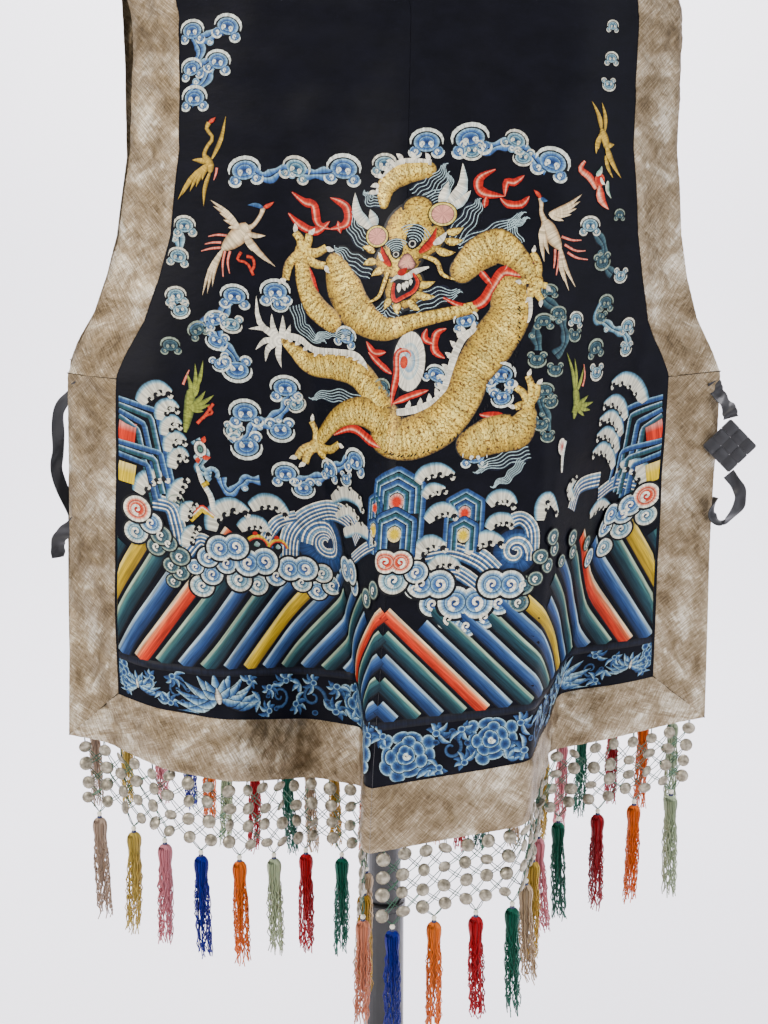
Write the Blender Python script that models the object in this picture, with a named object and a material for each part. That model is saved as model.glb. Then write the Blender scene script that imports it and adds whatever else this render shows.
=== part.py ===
"""Sleeveless ceremonial vest with pointed hems, net and tassels, on a limbless dress form with a telescoping pole.

The cloth is worked out from its flat cut. A point of a panel has two coordinates on the cut: how far it lies across
from the centre seam, and how far below the neck point. Each level of the panel keeps its cut length while it turns
round the body and into the folds, so the folded cloth has the cut's real width. Metres, +Z up, and the wearer's
back faces -Y.
"""

import math

import bmesh
import bpy
import numpy as np

# Heights above the floor
NECK_POINT_Z = 1.646
BASE_RADIUS = 0.180
BASE_HEIGHT = 0.022

# The cut, from the neck point down: how wide half a panel is, borders included
CORNER_BELOW = 1.100
SLIT_BELOW = 0.676
HEM_POINT_DROP = 0.100
SHOULDER_SLOPE = 0.22
NECK_HALF_WIDTH = 0.082
BACK_NECK_DEPTH = 0.054
FRONT_NECK_DEPTH = 0.100
BORDER_WIDTH = 0.068
BORDER_WIDTH_AT_POINT = 0.076
NECK_BORDER_WIDTH = 0.030
HALF_WIDTHS = np.array(
    [  # below, half width
        [0.060, 0.346],
        [0.250, 0.342],
        [0.410, 0.340],
        [0.510, 0.356],
        [0.560, 0.372],
        [0.610, 0.394],
        [0.650, 0.422],
        [SLIT_BELOW, 0.437],
        [0.800, 0.459],
        [CORNER_BELOW, 0.527],
    ]
)

# Cloth and seams
CLOTH = 0.0016
SEAM = 0.0003
PANEL_COLUMNS = 23
PANEL_ROWS_ABOVE_SLIT = 11
PANEL_ROWS_BELOW_SLIT = 6
ROW_CROWDING = 1.35  # above 1, the rows stand closer together where the cloth goes over the shoulder
NECK_CORNERS = {"back": 7, "front": 6}
STRIP_SHARES = np.array([0.0, 0.5, 1.0])
LEVEL_PASSES = 6  # the lowest level settles within these

# The cloth goes over the shoulder on a quarter ellipse, then hangs straight
OVER_SHOULDER_DEPTH = 0.118
OVER_SHOULDER_DROP = 0.100
OVER_SHOULDER_LENGTH = (
    math.pi / 2 * math.sqrt((OVER_SHOULDER_DEPTH**2 + OVER_SHOULDER_DROP**2) / 2)
)

# How the level lines turn round the body: flat in the middle, then away at the sides
BODY_FLAT_HALF = 0.150
BODY_TURN_WIDTH = 0.120
BODY_TURNS = np.array(
    [  # below, turn at the left side in degrees, at the right side
        [0.000, 28.0, 32.0],
        [0.300, 28.0, 32.0],
        [0.520, 22.0, 18.0],
        [SLIT_BELOW, 10.0, 10.0],
        [CORNER_BELOW, 0.0, 0.0],
    ]
)
FOLD_GROWTH = np.array(
    [  # below, share of the folds' depth at the hem
        [0.300, 0.00],
        [0.450, 0.12],
        [SLIT_BELOW, 0.46],
        [0.900, 0.76],
        [CORNER_BELOW, 1.00],
        [1.400, 1.10],
    ]
)

# Folds: between two places across the cut the cloth turns away from the viewer (+) or back towards the viewer (-)
BACK_FOLDS = np.array(
    [  # from, to, turn at the hem in degrees, share of the fold that each bend takes
        [-0.500, -0.370, -32.0, 0.30],
        [-0.340, -0.175, 40.0, 0.30],
        [-0.148, 0.003, -88.0, 0.12],
        [0.158, 0.350, 75.0, 0.16],
        [0.380, 0.510, 10.0, 0.30],
    ]
)
FRONT_FOLDS = np.array(
    [  # from, to, turn at the hem in degrees, share of the fold that each bend takes
        [-0.510, -0.400, -30.0, 0.25],
        [-0.370, -0.230, 50.0, 0.25],
        [-0.200, -0.060, -45.0, 0.25],
        [0.070, 0.210, 45.0, 0.25],
        [0.240, 0.370, -50.0, 0.25],
        [0.400, 0.510, 35.0, 0.25],
    ]
)
PATH_STEPS = 96
BACK_STANDS_OUT = 0.180
FRONT_STANDS_OUT = 0.080
CENTRE_LINE = np.array(
    [  # below, the back seam's place across
        [0.090, 0.000],
        [0.260, 0.031],
        [0.510, 0.026],
        [0.760, 0.014],
        [CORNER_BELOW, -0.012],
        [1.300, -0.020],
    ]
)

# Net and tassels
NET_ROWS = 4
NET_ROW_HEIGHT = 0.0215
NET_DEPTH = NET_ROWS * NET_ROW_HEIGHT
NET_WALL = 0.0012
NET_TOOTH = NET_ROW_HEIGHT / 2
NET_FIRST = 0.004
NET_END_INSET = 0.006
TASSELS_PER_HALF = 11
STRANDS = 5
TASSEL_BACKING = 0.0030
TASSEL_NECK_LENGTH = 0.012
TASSEL_NECK_RADIUS = 0.00255
TASSEL_HEAD_RADIUS = 0.0085
TASSEL_HEAD_SHOULDER = 0.006
TASSEL_HEAD_LENGTH = 0.016
TASSEL_HEAD_HOLLOW = 0.002
TASSEL_WAIST_RADIUS = 0.0072
TASSEL_SKIRT_LENGTH = 0.112
TASSEL_SKIRT_RADIUS = 0.0105
STRAND_RADIUS = 0.0026
STRAND_WAVE = 0.0018
STRAND_MIDDLE = (0.45, 0.72, 1.0)  # share of the length, share of the skirt's radius, share of the strand's radius
STRAND_END = (1.0, 0.88, 0.8)
STRAND_END_SPREAD = 0.12

# Ties: routes are steps from where the ribbon leaves the side edge, or from the knot's lower point
RIBBON_WIDTH = 0.017
RIBBON_WALL = 0.0012
RIBBON_STATIONS = 14
SHORT_RIBBON_STATIONS = 8
TIE_SEAT = 0.018
TIE_LEAVES = 0.006
TIE_LEAVES_DOWN = 0.010
LEFT_UPPER_TIE_BELOW_SLIT = 0.010
LEFT_UPPER_TIE = ((-0.014, 0.004, -0.034), (-0.018, 0.006, -0.080), (-0.021, 0.006, -0.110), (-0.004, 0.010, -0.165))
LEFT_UPPER_TWIST = (-25.0, 60.0)
LEFT_LOWER_TIE_BELOW_SLIT = 0.170
LEFT_LOWER_TIE = ((-0.016, 0.004, -0.028), (-0.020, 0.008, -0.052))
LEFT_LOWER_TWIST = (-27.0, 30.0)
STRAP_BELOW_SLIT = 0.010
STRAP_SEAT = 0.009
STRAP_BEND_BELOW_SLIT = 0.024
STRAP_BEND_SEAT = 0.004
STRAP_BEND_SHARE = 0.7
STRAP_BEND_STEP = (0.002, -0.003, 0.0)
STRAP_TWIST = (14.0, 0.0)
LOOP = (
    (0.0, 0.0, 0.0),
    (0.014, -0.002, -0.020),
    (0.012, -0.005, -0.040),
    (-0.006, -0.009, -0.058),
    (-0.020, -0.011, -0.050),
    (-0.016, -0.009, -0.028),
)
LOOP_TWIST = (0.0, 80.0)
TIE_GAP = 0.0004
TWIST_FROM = 0.4
KNOT_BELOW_SLIT = 0.088
KNOT_STEP = (0.014, -0.011, 0.0)
KNOT_HALF_DIAGONAL = 0.034
KNOT_WALL = 0.009
KNOT_LEVELS = ((1.0, 0.10), (0.72, 0.42), (0.30, 0.50))  # share of the half diagonal, share of the wall each way

# Bars that hold the front opening shut
BAR_LEVELS = (0.200, 0.350)
BAR_HALF_LENGTH = 0.035
BAR_HALF_WIDTH = 0.006
BAR_WALL = 0.003

# Form and stand
POLE_LOWER_RADIUS = 0.0270
POLE_LOWER_BORE = 0.0235
POLE_LOWER_LENGTH = 0.2957
POLE_UPPER_RADIUS = 0.0228
POLE_UPPER_BOTTOM = 0.130
TORSO_BOTTOM_Z = 0.965
TORSO_LEVELS = np.array(
    [  # height, half width, half depth
        [0.965, 0.150, 0.088],
        [0.971, 0.158, 0.094],
        [1.025, 0.168, 0.100],
        [1.095, 0.162, 0.098],
        [1.165, 0.145, 0.092],
        [1.225, 0.134, 0.088],
        [1.295, 0.146, 0.096],
        [1.385, 0.162, 0.104],
        [1.465, 0.172, 0.104],
        [1.525, 0.176, 0.094],
        [1.565, 0.178, 0.080],
        [1.595, 0.180, 0.060],
    ]
)
SHOULDER_SEAT_GAP = 0.0009
SHOULDER_LEVELS = ((0.170, 0.040), (0.140, 0.038), (0.110, 0.037), (0.085, 0.038))  # half width, half depth
NECK_TOP_Z = 1.700
NECK_LEVELS = ((NECK_POINT_Z - 0.012, 0.066, 0.044), (NECK_POINT_Z + 0.010, 0.056, 0.044), (NECK_TOP_Z, 0.054, 0.045))
# Outlines of the turned pieces: radius, height above the piece's foot
NECK_CAP = ((0.030, 0.0), (0.030, 0.003), (0.026, 0.007), (0.010, 0.010))
PLATE = ((0.045, 0.0), (0.050, 0.004), (0.050, 0.010))
BASE = (
    (BASE_RADIUS - 0.002, 0.0),
    (BASE_RADIUS, 0.003),
    (BASE_RADIUS, 0.008),
    (BASE_RADIUS - 0.010, 0.013),
    (0.060, BASE_HEIGHT - 0.001),
    (0.045, BASE_HEIGHT),
)
POLE_LOWER = (
    (POLE_LOWER_RADIUS + 0.010, 0.0),
    (POLE_LOWER_RADIUS + 0.010, 0.006),
    (POLE_LOWER_RADIUS, 0.016),
    (POLE_LOWER_RADIUS, POLE_LOWER_LENGTH - 0.012),
    (POLE_LOWER_RADIUS + 0.0022, POLE_LOWER_LENGTH - 0.010),
    (POLE_LOWER_RADIUS + 0.0022, POLE_LOWER_LENGTH - 0.002),
    (POLE_LOWER_RADIUS, POLE_LOWER_LENGTH),
    (POLE_LOWER_BORE, POLE_LOWER_LENGTH),
    (POLE_LOWER_BORE, 0.0),
)
SIDES = 32
BASE_SIDES = 48


def material(name, colour, roughness, metallic=0.0):
    """A plain Principled finish."""
    made = bpy.data.materials.new(name)
    made.use_nodes = True
    shader = made.node_tree.nodes["Principled BSDF"]
    shader.inputs["Base Color"].default_value = (*colour, 1.0)
    shader.inputs["Roughness"].default_value = roughness
    shader.inputs["Metallic"].default_value = metallic
    return made


def smooth(t):
    """0 to 1 with a soft start and end."""
    t = np.clip(t, 0.0, 1.0)
    return t * t * (3.0 - 2.0 * t)


def half_width(below):
    """Half the cut's width at a level, borders included."""
    return np.interp(below, HALF_WIDTHS[:, 0], HALF_WIDTHS[:, 1])


def hem_below(across):
    """How far down the pointed hem lies: lowest at the centre seam."""
    share = np.clip(np.abs(across) / half_width(CORNER_BELOW), 0.0, 1.0)
    return CORNER_BELOW + HEM_POINT_DROP * (1.0 - share)


def hem_border_width(across):
    """The hem border is a little wider at the point than at the sides."""
    share = np.clip(np.abs(across) / half_width(CORNER_BELOW), 0.0, 1.0)
    return BORDER_WIDTH_AT_POINT + (BORDER_WIDTH - BORDER_WIDTH_AT_POINT) * share


def heading(across, below, folds):
    """Direction of a level line at a point, as an angle from +X: round the body, plus the folds' turns."""
    left, right = (np.interp(below, BODY_TURNS[:, 0], BODY_TURNS[:, k]) for k in (1, 2))
    side_turn = np.where(across < 0, -left, right)
    total = side_turn * smooth((np.abs(across) - BODY_FLAT_HALF) / BODY_TURN_WIDTH)
    growth = np.interp(below, FOLD_GROWTH[:, 0], FOLD_GROWTH[:, 1])
    for start, end, turn, bend in folds:
        t = (across - start) / (end - start)
        total = total + turn * growth * smooth(t / bend) * smooth((1.0 - t) / bend)
    return np.radians(total)


def cloth(side, across, below):
    """The folded cloth's inner surface at places on the cut. side is "back" or "front"."""
    across = np.asarray(across, float)
    below = np.asarray(below, float)
    folds = BACK_FOLDS if side == "back" else FRONT_FOLDS
    stands_out = BACK_STANDS_OUT if side == "back" else FRONT_STANDS_OUT
    along = (np.arange(PATH_STEPS) + 0.5) / PATH_STEPS
    path = heading(across[..., None] * along, below[..., None], folds)
    growth = np.interp(below, FOLD_GROWTH[:, 0], FOLD_GROWTH[:, 1])
    past_seam = np.maximum(below - SHOULDER_SLOPE * np.abs(across), 0.0)
    angle = np.minimum(past_seam / OVER_SHOULDER_LENGTH, 1.0) * math.pi / 2
    depth = OVER_SHOULDER_DEPTH * np.sin(angle)
    drop = OVER_SHOULDER_DROP * (1.0 - np.cos(angle)) + np.maximum(past_seam - OVER_SHOULDER_LENGTH, 0.0)
    x = across * np.cos(path).mean(-1)
    turned = across * np.sin(path).mean(-1) * np.sin(angle) - stands_out * growth
    z = NECK_POINT_Z - SHOULDER_SLOPE * np.abs(across) - drop
    if side == "back":
        x = x + np.interp(below, CENTRE_LINE[:, 0], CENTRE_LINE[:, 1]) * np.sin(angle)
        return np.stack([x, turned - depth, z], -1)
    return np.stack([x, depth - turned, z], -1)


def outward(side, across, below):
    """The cloth's normal, pointing out of the garment."""
    step = 0.0015
    over = cloth(side, across + step, below) - cloth(side, across - step, below)
    down = cloth(side, across, below + step) - cloth(side, across, below - step)
    normal = np.cross(over, down)
    normal /= np.linalg.norm(normal, axis=-1, keepdims=True)
    return -normal if side == "back" else normal


class Shape:
    """The points and faces of one solid while it is put together from rings of points."""

    def __init__(self):
        self.points = []
        self.faces = []

    def ring(self, places):
        """Adds points and gives back their numbers."""
        first = len(self.points)
        self.points.extend(places)
        return list(range(first, len(self.points)))

    def bridge(self, upper, lower):
        """Faces all round between two rings of the same count."""
        for k in range(len(upper)):
            after = (k + 1) % len(upper)
            self.faces.append([upper[k], upper[after], lower[after], lower[k]])

    def finish(self, name, finish, smooth_shaded=True):
        """One closed mesh object, its faces turned outwards."""
        mesh = bpy.data.meshes.new(name)
        mesh.from_pydata([tuple(map(float, p)) for p in self.points], [], self.faces)
        shape = bmesh.new()
        shape.from_mesh(mesh)
        bmesh.ops.recalc_face_normals(shape, faces=shape.faces)
        shape.to_mesh(mesh)
        shape.free()
        mesh.materials.append(finish)
        if smooth_shaded:
            mesh.shade_smooth()
        made = bpy.data.objects.new(name, mesh)
        bpy.context.scene.collection.objects.link(made)
        return made


def wall(name, inner, outer, finish):
    """A closed wall between two grids of points, rows by columns. Both layers of a cell are split the same way."""
    rows, columns = inner.shape[:2]
    shape = Shape()
    layers = [np.array(shape.ring(grid.reshape(-1, 3))).reshape(rows, columns) for grid in (inner, outer)]
    for r in range(rows - 1):
        for c in range(columns - 1):
            falling = np.linalg.norm(outer[r, c] - outer[r + 1, c + 1])
            rising = np.linalg.norm(outer[r, c + 1] - outer[r + 1, c])
            for layer in layers:
                a, b, d, e = layer[r, c], layer[r, c + 1], layer[r + 1, c + 1], layer[r + 1, c]
                halves = [[a, b, d], [a, d, e]] if falling <= rising else [[a, b, e], [b, d, e]]
                shape.faces.extend(halves if layer is layers[1] else [half[::-1] for half in halves])
    low, high = layers
    for edge in ((low[0], high[0]), (low[-1], high[-1]), (low[:, 0], high[:, 0]), (low[:, -1], high[:, -1])):
        for k in range(len(edge[0]) - 1):
            shape.faces.append([edge[0][k], edge[0][k + 1], edge[1][k + 1], edge[1][k]])
    return shape.finish(name, finish)


def cloth_wall(name, side, across, below, finish, thickness=CLOTH, lift=0.0):
    """A wall on the cloth's surface, over a grid of places on the cut."""
    surface = cloth(side, across, below)
    normal = outward(side, across, below)
    return wall(name, surface + normal * lift, surface + normal * (lift + thickness), finish)


def panel_rows():
    """Shares from the top edge to the slit's level, and from there to the hem border."""
    above = np.linspace(0.0, 1.0, PANEL_ROWS_ABOVE_SLIT) ** ROW_CROWDING
    under = np.linspace(0.0, 1.0, PANEL_ROWS_BELOW_SLIT + 1)[1:]
    return above, under


def neck_reach():
    """Where the neck border ends on the shoulder seam."""
    return NECK_HALF_WIDTH + NECK_BORDER_WIDTH


def neck_stations(side):
    """Places across where the neck border's outer edge has its corners, closer together as it turns down."""
    first = centre_edge(side)
    turn = np.linspace(math.asin(first / neck_reach()), math.pi / 2, NECK_CORNERS[side])
    return neck_reach() * np.sin(turn)


def panel_columns(side):
    """Shares across half a panel: the neck border's corners, then even steps to the side border."""
    start = centre_edge(side)
    reach = inner_half(0.0) - SEAM / 2
    neck = (neck_stations(side) - start) / (reach - start)
    rest = np.linspace(neck[-1], 1.0, PANEL_COLUMNS - len(neck) + 1)
    return np.concatenate([neck, rest[1:]])


def sign_of(hand):
    """Left is -X."""
    return -1.0 if hand == "left" else 1.0


def inner_half(below):
    """Where the side border's inner edge lies at a level."""
    return half_width(below) - BORDER_WIDTH


def centre_edge(side):
    """Where a half panel starts: at the centre seam, or at the front opening's border."""
    return SEAM / 2 if side == "back" else BORDER_WIDTH + SEAM


def side_levels(side):
    """The levels of a panel's rows at its side border, from the shoulder to the hem border, with one at the slit."""
    above, under = panel_rows()
    top = field_top(side, inner_half(0.0) - SEAM / 2)
    bottom = CORNER_BELOW
    for _ in range(LEVEL_PASSES):
        bottom = field_bottom(inner_half(bottom) - SEAM / 2)
    return np.concatenate([top + (SLIT_BELOW - top) * above, SLIT_BELOW + (bottom - SLIT_BELOW) * under])


def half_grid(side):
    """Places on the cut of half a panel's field: rows from its top edge to the hem border, columns to the side."""
    levels = side_levels(side)
    start = centre_edge(side)
    reach = inner_half(levels) - SEAM / 2
    share = (levels - field_top(side, reach)) / (field_bottom(reach) - field_top(side, reach))
    across = start + (reach - start)[:, None] * panel_columns(side)[None, :]
    tops = field_top(side, across)
    return across, tops + (field_bottom(across) - tops) * share[:, None]


def neck_depth(side):
    """How far the neckline dips at the centre."""
    return BACK_NECK_DEPTH if side == "back" else FRONT_NECK_DEPTH


def field_top(side, across):
    """The field's top edge: under the neck border, then the shoulder seam."""
    inside = np.clip(np.abs(across) / neck_reach(), 0.0, 1.0)
    depth = neck_depth(side) + NECK_BORDER_WIDTH
    return SHOULDER_SLOPE * np.abs(across) + depth * np.sqrt(1.0 - inside**2) + SEAM / 2


def field_bottom(across):
    """The field's lower edge, along the hem border."""
    return hem_below(across) - hem_border_width(across) - SEAM / 2


def build_panel(side, hand, finish):
    """The black satin of a half panel."""
    across, below = half_grid(side)
    cloth_wall(f"{side}_{hand}_panel", side, sign_of(hand) * across, below, finish)


def build_side_borders(side, hand, finish):
    """The armhole border, from the shoulder to the slit, and the side border from there to the mitre."""
    levels = side_levels(side)
    cut = PANEL_ROWS_ABOVE_SLIT
    sign = sign_of(hand)
    upper = levels[:cut].copy()
    upper[-1] -= SEAM / 2
    below = np.repeat(upper[:, None], len(STRIP_SHARES), axis=1)
    inner = inner_half(below) + SEAM
    across = inner + (half_width(below) - inner) * STRIP_SHARES
    below[0] = SHOULDER_SLOPE * across[0] + SEAM / 2
    cloth_wall(f"{side}_{hand}_armhole_border", side, sign * across, below, finish)
    lower = levels[cut - 1 :].copy()
    lower[0] += SEAM / 2
    mitre = lower[-1] - SEAM + (CORNER_BELOW - lower[-1]) * STRIP_SHARES
    share_down = (lower - lower[0]) / (lower[-1] - lower[0])
    below = lower[0] + share_down[:, None] * (mitre - lower[0])[None, :]
    inner = inner_half(below) + SEAM
    across = inner + (half_width(below) - inner) * STRIP_SHARES
    cloth_wall(f"{side}_{hand}_side_border", side, sign * across, below, finish)


def build_hem_border(side, hand, finish):
    """The hem's border, mitred at the side and at the front opening."""
    shares = STRIP_SHARES[:, None]
    top = half_grid(side)[0][-1]
    columns = (top - top[0]) / (top[-1] - top[0])
    inner_start = centre_edge(side)
    outer_start = inner_start if side == "back" else SEAM
    start = inner_start + (outer_start - inner_start) * shares
    end = top[-1] + (half_width(CORNER_BELOW) - top[-1]) * shares
    across = start + (end - start) * columns
    below = hem_below(across) - (hem_border_width(across) - SEAM) * (1.0 - shares)
    cloth_wall(f"{side}_{hand}_hem_border", side, sign_of(hand) * across, below, finish)


def build_opening_border(hand, finish):
    """A border along the front opening, from the neck border to the hem's mitre."""
    across_top = SEAM + (BORDER_WIDTH - SEAM) * STRIP_SHARES
    inner = half_grid("front")[1][:, 0]
    rows = (inner - inner[0]) / (inner[-1] - inner[0])
    top_edge = field_top("front", across_top)
    hem_edge = hem_below(across_top) - hem_border_width(across_top) * across_top / BORDER_WIDTH - SEAM
    below = top_edge + rows[:, None] * (hem_edge - top_edge)
    across = np.repeat(across_top[None, :], len(rows), axis=0)
    cloth_wall(f"front_{hand}_opening_border", "front", sign_of(hand) * across, below, finish)


def build_neck_border(side, hand, finish):
    """A narrow border round half the neck."""
    outer = neck_stations(side)
    if side == "front":
        outer = np.concatenate([[SEAM, BORDER_WIDTH / 2], outer])
    inner = outer * NECK_HALF_WIDTH / neck_reach()
    inner[0] = outer[0]
    curve = neck_depth(side) * np.sqrt(np.maximum(1.0 - (inner / NECK_HALF_WIDTH) ** 2, 0.0))
    across = np.stack([inner, outer])
    below = np.stack([SHOULDER_SLOPE * inner + curve + SEAM / 2, field_top(side, outer) - SEAM])
    below[1, -1] = below[0, -1] + SHOULDER_SLOPE * (outer[-1] - inner[-1])
    cloth_wall(f"{side}_{hand}_neck_border", side, sign_of(hand) * across, below, finish)


def build_net(side, hand, finish):
    """The knotted net under a half hem, an even net left uncut: a thin wall with a toothed lower edge."""
    shares = STRIP_SHARES[:, None]
    teeth = np.where(np.arange(PANEL_COLUMNS) % 2 == 1, NET_TOOTH, 0.0)
    field = half_grid(side)[0][-1]
    first = centre_edge(side) if side == "back" else SEAM
    hem = first + (half_width(CORNER_BELOW) - first) * (field - field[0]) / (field[-1] - field[0])
    low = NET_FIRST + (net_last() - NET_FIRST) * np.linspace(0.0, 1.0, PANEL_COLUMNS)
    across = hem + (low - hem) * shares
    below = hem_below(across) + SEAM + (NET_DEPTH - NET_TOOTH + teeth) * shares
    cloth_wall(f"{side}_{hand}_net", side, sign_of(hand) * across, below, finish, NET_WALL)


def net_last():
    """Where the net ends across the hem, just inside the corner."""
    return half_width(CORNER_BELOW) - NET_END_INSET


def build_tassels(side, hand, finish):
    """A thread along the net's teeth with a row of tassels fused to it."""
    steps = (2 * np.arange(TASSELS_PER_HALF) + 1) / (2 * TASSELS_PER_HALF)
    centres = NET_FIRST + (net_last() - NET_FIRST) * steps
    half = TASSEL_BACKING / 2
    stations = sign_of(hand) * np.sort(np.concatenate([centres - half, centres + half]))
    level = hem_below(stations) + NET_DEPTH + SEAM * 3
    shape = Shape()
    rings = []
    for place, out in zip(cloth(side, stations, level), outward(side, stations, level)):
        behind, before = place - out * TASSEL_BACKING / 4, place + out * TASSEL_BACKING * 3 / 4
        down = np.array([0.0, 0.0, TASSEL_BACKING])
        rings.append(shape.ring([behind, before, before - down, behind - down]))
    for k, (ring, after) in enumerate(zip(rings, rings[1:])):
        edges = (0, 1, 3) if k % 2 == 0 else (0, 1, 2, 3)
        for edge in edges:
            nxt = (edge + 1) % 4
            shape.faces.append([ring[edge], ring[nxt], after[nxt], after[edge]])
    shape.faces += [rings[0][::-1], rings[-1]]
    out = outward(side, stations, level)
    for n in range(TASSELS_PER_HALF):
        first, second = rings[2 * n], rings[2 * n + 1]
        add_tassel(shape, [first[2], second[2], second[3], first[3]], out[2 * n], n)
    return shape.finish(f"{side}_{hand}_tassels", finish, smooth_shaded=False)


def add_tassel(shape, corners, out, number):
    """One tassel under four corners of the thread's lower face: neck, round head and a skirt of strands."""
    places = np.array([shape.points[c] for c in corners])
    middle = places.mean(axis=0)
    over = places[1] - places[0]
    over[2] = 0.0
    over /= np.linalg.norm(over)
    away = np.array([over[1], -over[0], 0.0])
    away *= math.copysign(1.0, np.dot(away, out))
    angles = [math.pi / STRANDS + 2 * math.pi * k / STRANDS for k in range(STRANDS)]

    def round_ring(radius, below):
        """A ring of the tassel at a depth under the thread."""
        turns = [math.cos(angle) * over + math.sin(angle) * away for angle in angles]
        return shape.ring([middle + radius * turn - np.array([0.0, 0.0, below]) for turn in turns])

    neck = round_ring(TASSEL_NECK_RADIUS, TASSEL_NECK_LENGTH)
    head = round_ring(TASSEL_HEAD_RADIUS, TASSEL_NECK_LENGTH + TASSEL_HEAD_SHOULDER)
    waist = round_ring(TASSEL_WAIST_RADIUS, TASSEL_NECK_LENGTH + TASSEL_HEAD_LENGTH)
    corner_angles = [math.atan2(np.dot(p - middle, away), np.dot(p - middle, over)) % (2 * math.pi) for p in places]
    around = [corners[k] for k in np.argsort(corner_angles)]
    shape.faces += [[around[k], around[k + 1], neck[k + 1], neck[k]] for k in range(3)]
    shape.faces += [[around[3], neck[4], neck[3]], [around[3], around[0], neck[0], neck[4]]]
    shape.bridge(neck, head)
    shape.bridge(head, waist)
    hollow = TASSEL_NECK_LENGTH + TASSEL_HEAD_LENGTH - TASSEL_HEAD_HOLLOW
    hub = shape.ring([middle - np.array([0.0, 0.0, hollow])])[0]
    for k in range(STRANDS):
        mid_angle = angles[k] + math.pi / STRANDS
        direction = math.cos(mid_angle) * over + math.sin(mid_angle) * away
        wave = STRAND_WAVE * math.sin(2.4 * number + 1.7 * k)
        end_spread = STRAND_END_SPREAD * math.sin(number + 2.1 * k)
        previous = [hub, waist[k], waist[(k + 1) % STRANDS]]
        for (share, spread, size), bend in ((STRAND_MIDDLE, wave), (STRAND_END, -wave)):
            reach = TASSEL_SKIRT_RADIUS * (spread + (end_spread if share == 1.0 else 0.0))
            centre = middle + direction * reach + over * bend
            centre = centre - np.array([0.0, 0.0, hollow + TASSEL_SKIRT_LENGTH * share])
            turns = [mid_angle + turn for turn in (math.pi, -math.pi / 3, math.pi / 3)]
            offsets = [math.cos(turn) * over + math.sin(turn) * away for turn in turns]
            ring = shape.ring([centre + offset * STRAND_RADIUS * size for offset in offsets])
            shape.bridge(previous, ring)
            previous = ring
        shape.faces.append(previous[::-1])


def smooth_route(route, count):
    """A smooth curve through a route's points, evenly read."""
    route = np.array(route, float)
    t = np.linspace(0.0, len(route) - 1, count)
    k = np.clip(t.astype(int), 0, len(route) - 2)
    f = (t - k)[:, None]
    before = route[np.maximum(k - 1, 0)]
    after = route[np.minimum(k + 2, len(route) - 1)]
    a, b = route[k], route[k + 1]
    curve = 2 * a + (b - before) * f + (2 * before - 5 * a + 4 * b - after) * f**2
    return (curve + (3 * a - before - 3 * b + after) * f**3) / 2


def ribbon(name, route, twist, finish, count=RIBBON_STATIONS):
    """A flat ribbon along a route. twist gives the width's direction where it is sewn on, and at its end."""
    path = smooth_route(route, count)
    tangent = np.gradient(path, axis=0)
    tangent /= np.linalg.norm(tangent, axis=1, keepdims=True)
    angles = np.radians(np.interp(np.linspace(0.0, 1.0, count), [TWIST_FROM, 1.0], twist))
    wish = np.stack([np.cos(angles), np.sin(angles), 0.0 * angles], -1)
    across = wish - tangent * np.sum(wish * tangent, axis=1, keepdims=True)
    across /= np.linalg.norm(across, axis=1, keepdims=True)
    normal = np.cross(tangent, across)
    half = RIBBON_WIDTH / 2
    rows = np.stack([path - across * half, path + across * half], axis=1)
    lift = normal[:, None, :] * RIBBON_WALL / 2
    return wall(name, rows - lift, rows + lift, finish)


def side_place(hand, inset, below, lift):
    """A place near the back's side edge: how far inside the edge, and how far out from the cloth's inner surface."""
    across = np.array(sign_of(hand) * (half_width(below) - inset))
    level = np.array(below)
    return cloth("back", across, level) + outward("back", across, level) * lift


def build_left_tie(name, start, steps, twist, finish, count=RIBBON_STATIONS):
    """A ribbon sewn under the left side edge, which leaves it outwards and hangs by the given steps."""
    behind = -SEAM * 2 - RIBBON_WALL / 2
    edge = side_place("left", 0.0, start, behind)
    leaving = side_place("left", TIE_LEAVES, start + TIE_LEAVES_DOWN, behind)
    sewn = [side_place("left", TIE_SEAT, start, behind), leaving]
    ribbon(name, sewn + [edge + np.array(step) for step in steps], twist, finish, count)


def build_right_tie(finish):
    """A strap from the right side edge, a flat knot, and a loop under it."""
    before = CLOTH + SEAM * 3 + RIBBON_WALL / 2
    strap = side_place("right", STRAP_SEAT, SLIT_BELOW + STRAP_BELOW_SLIT, before)
    bend = side_place("right", STRAP_BEND_SEAT, SLIT_BELOW + STRAP_BEND_BELOW_SLIT, before + SEAM * 2)
    knot = side_place("right", 0.0, SLIT_BELOW + KNOT_BELOW_SLIT, CLOTH / 2) + np.array(KNOT_STEP)
    tip = np.array([0.0, 0.0, KNOT_HALF_DIAGONAL + TIE_GAP])
    hang = strap + (knot + tip - strap) * STRAP_BEND_SHARE + np.array(STRAP_BEND_STEP)
    ribbon("right_tie_strap", [strap, bend, hang, knot + tip], STRAP_TWIST, finish, SHORT_RIBBON_STATIONS)
    build_knot("right_tie_knot", knot, finish)
    ribbon("right_tie_loop", [knot - tip + np.array(step) for step in LOOP], LOOP_TWIST, finish)


def build_knot(name, centre, finish):
    """A flat four-pointed knot with rounded faces."""
    reach = KNOT_HALF_DIAGONAL
    corners = [(0.0, reach), (reach, 0.0), (0.0, -reach), (-reach, 0.0)]
    shape = Shape()
    rims = []
    for face in (-1, 1):
        rings = []
        for share, thick in KNOT_LEVELS:
            steps = [np.array([x * share, face * thick * KNOT_WALL, z * share]) for x, z in corners]
            rings.append(shape.ring([centre + step for step in steps]))
        for outer, inner in zip(rings, rings[1:]):
            shape.bridge(outer, inner)
        shape.faces.append(rings[-1])
        rims.append(rings[0])
    shape.bridge(*rims)
    return shape.finish(name, finish)


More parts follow.
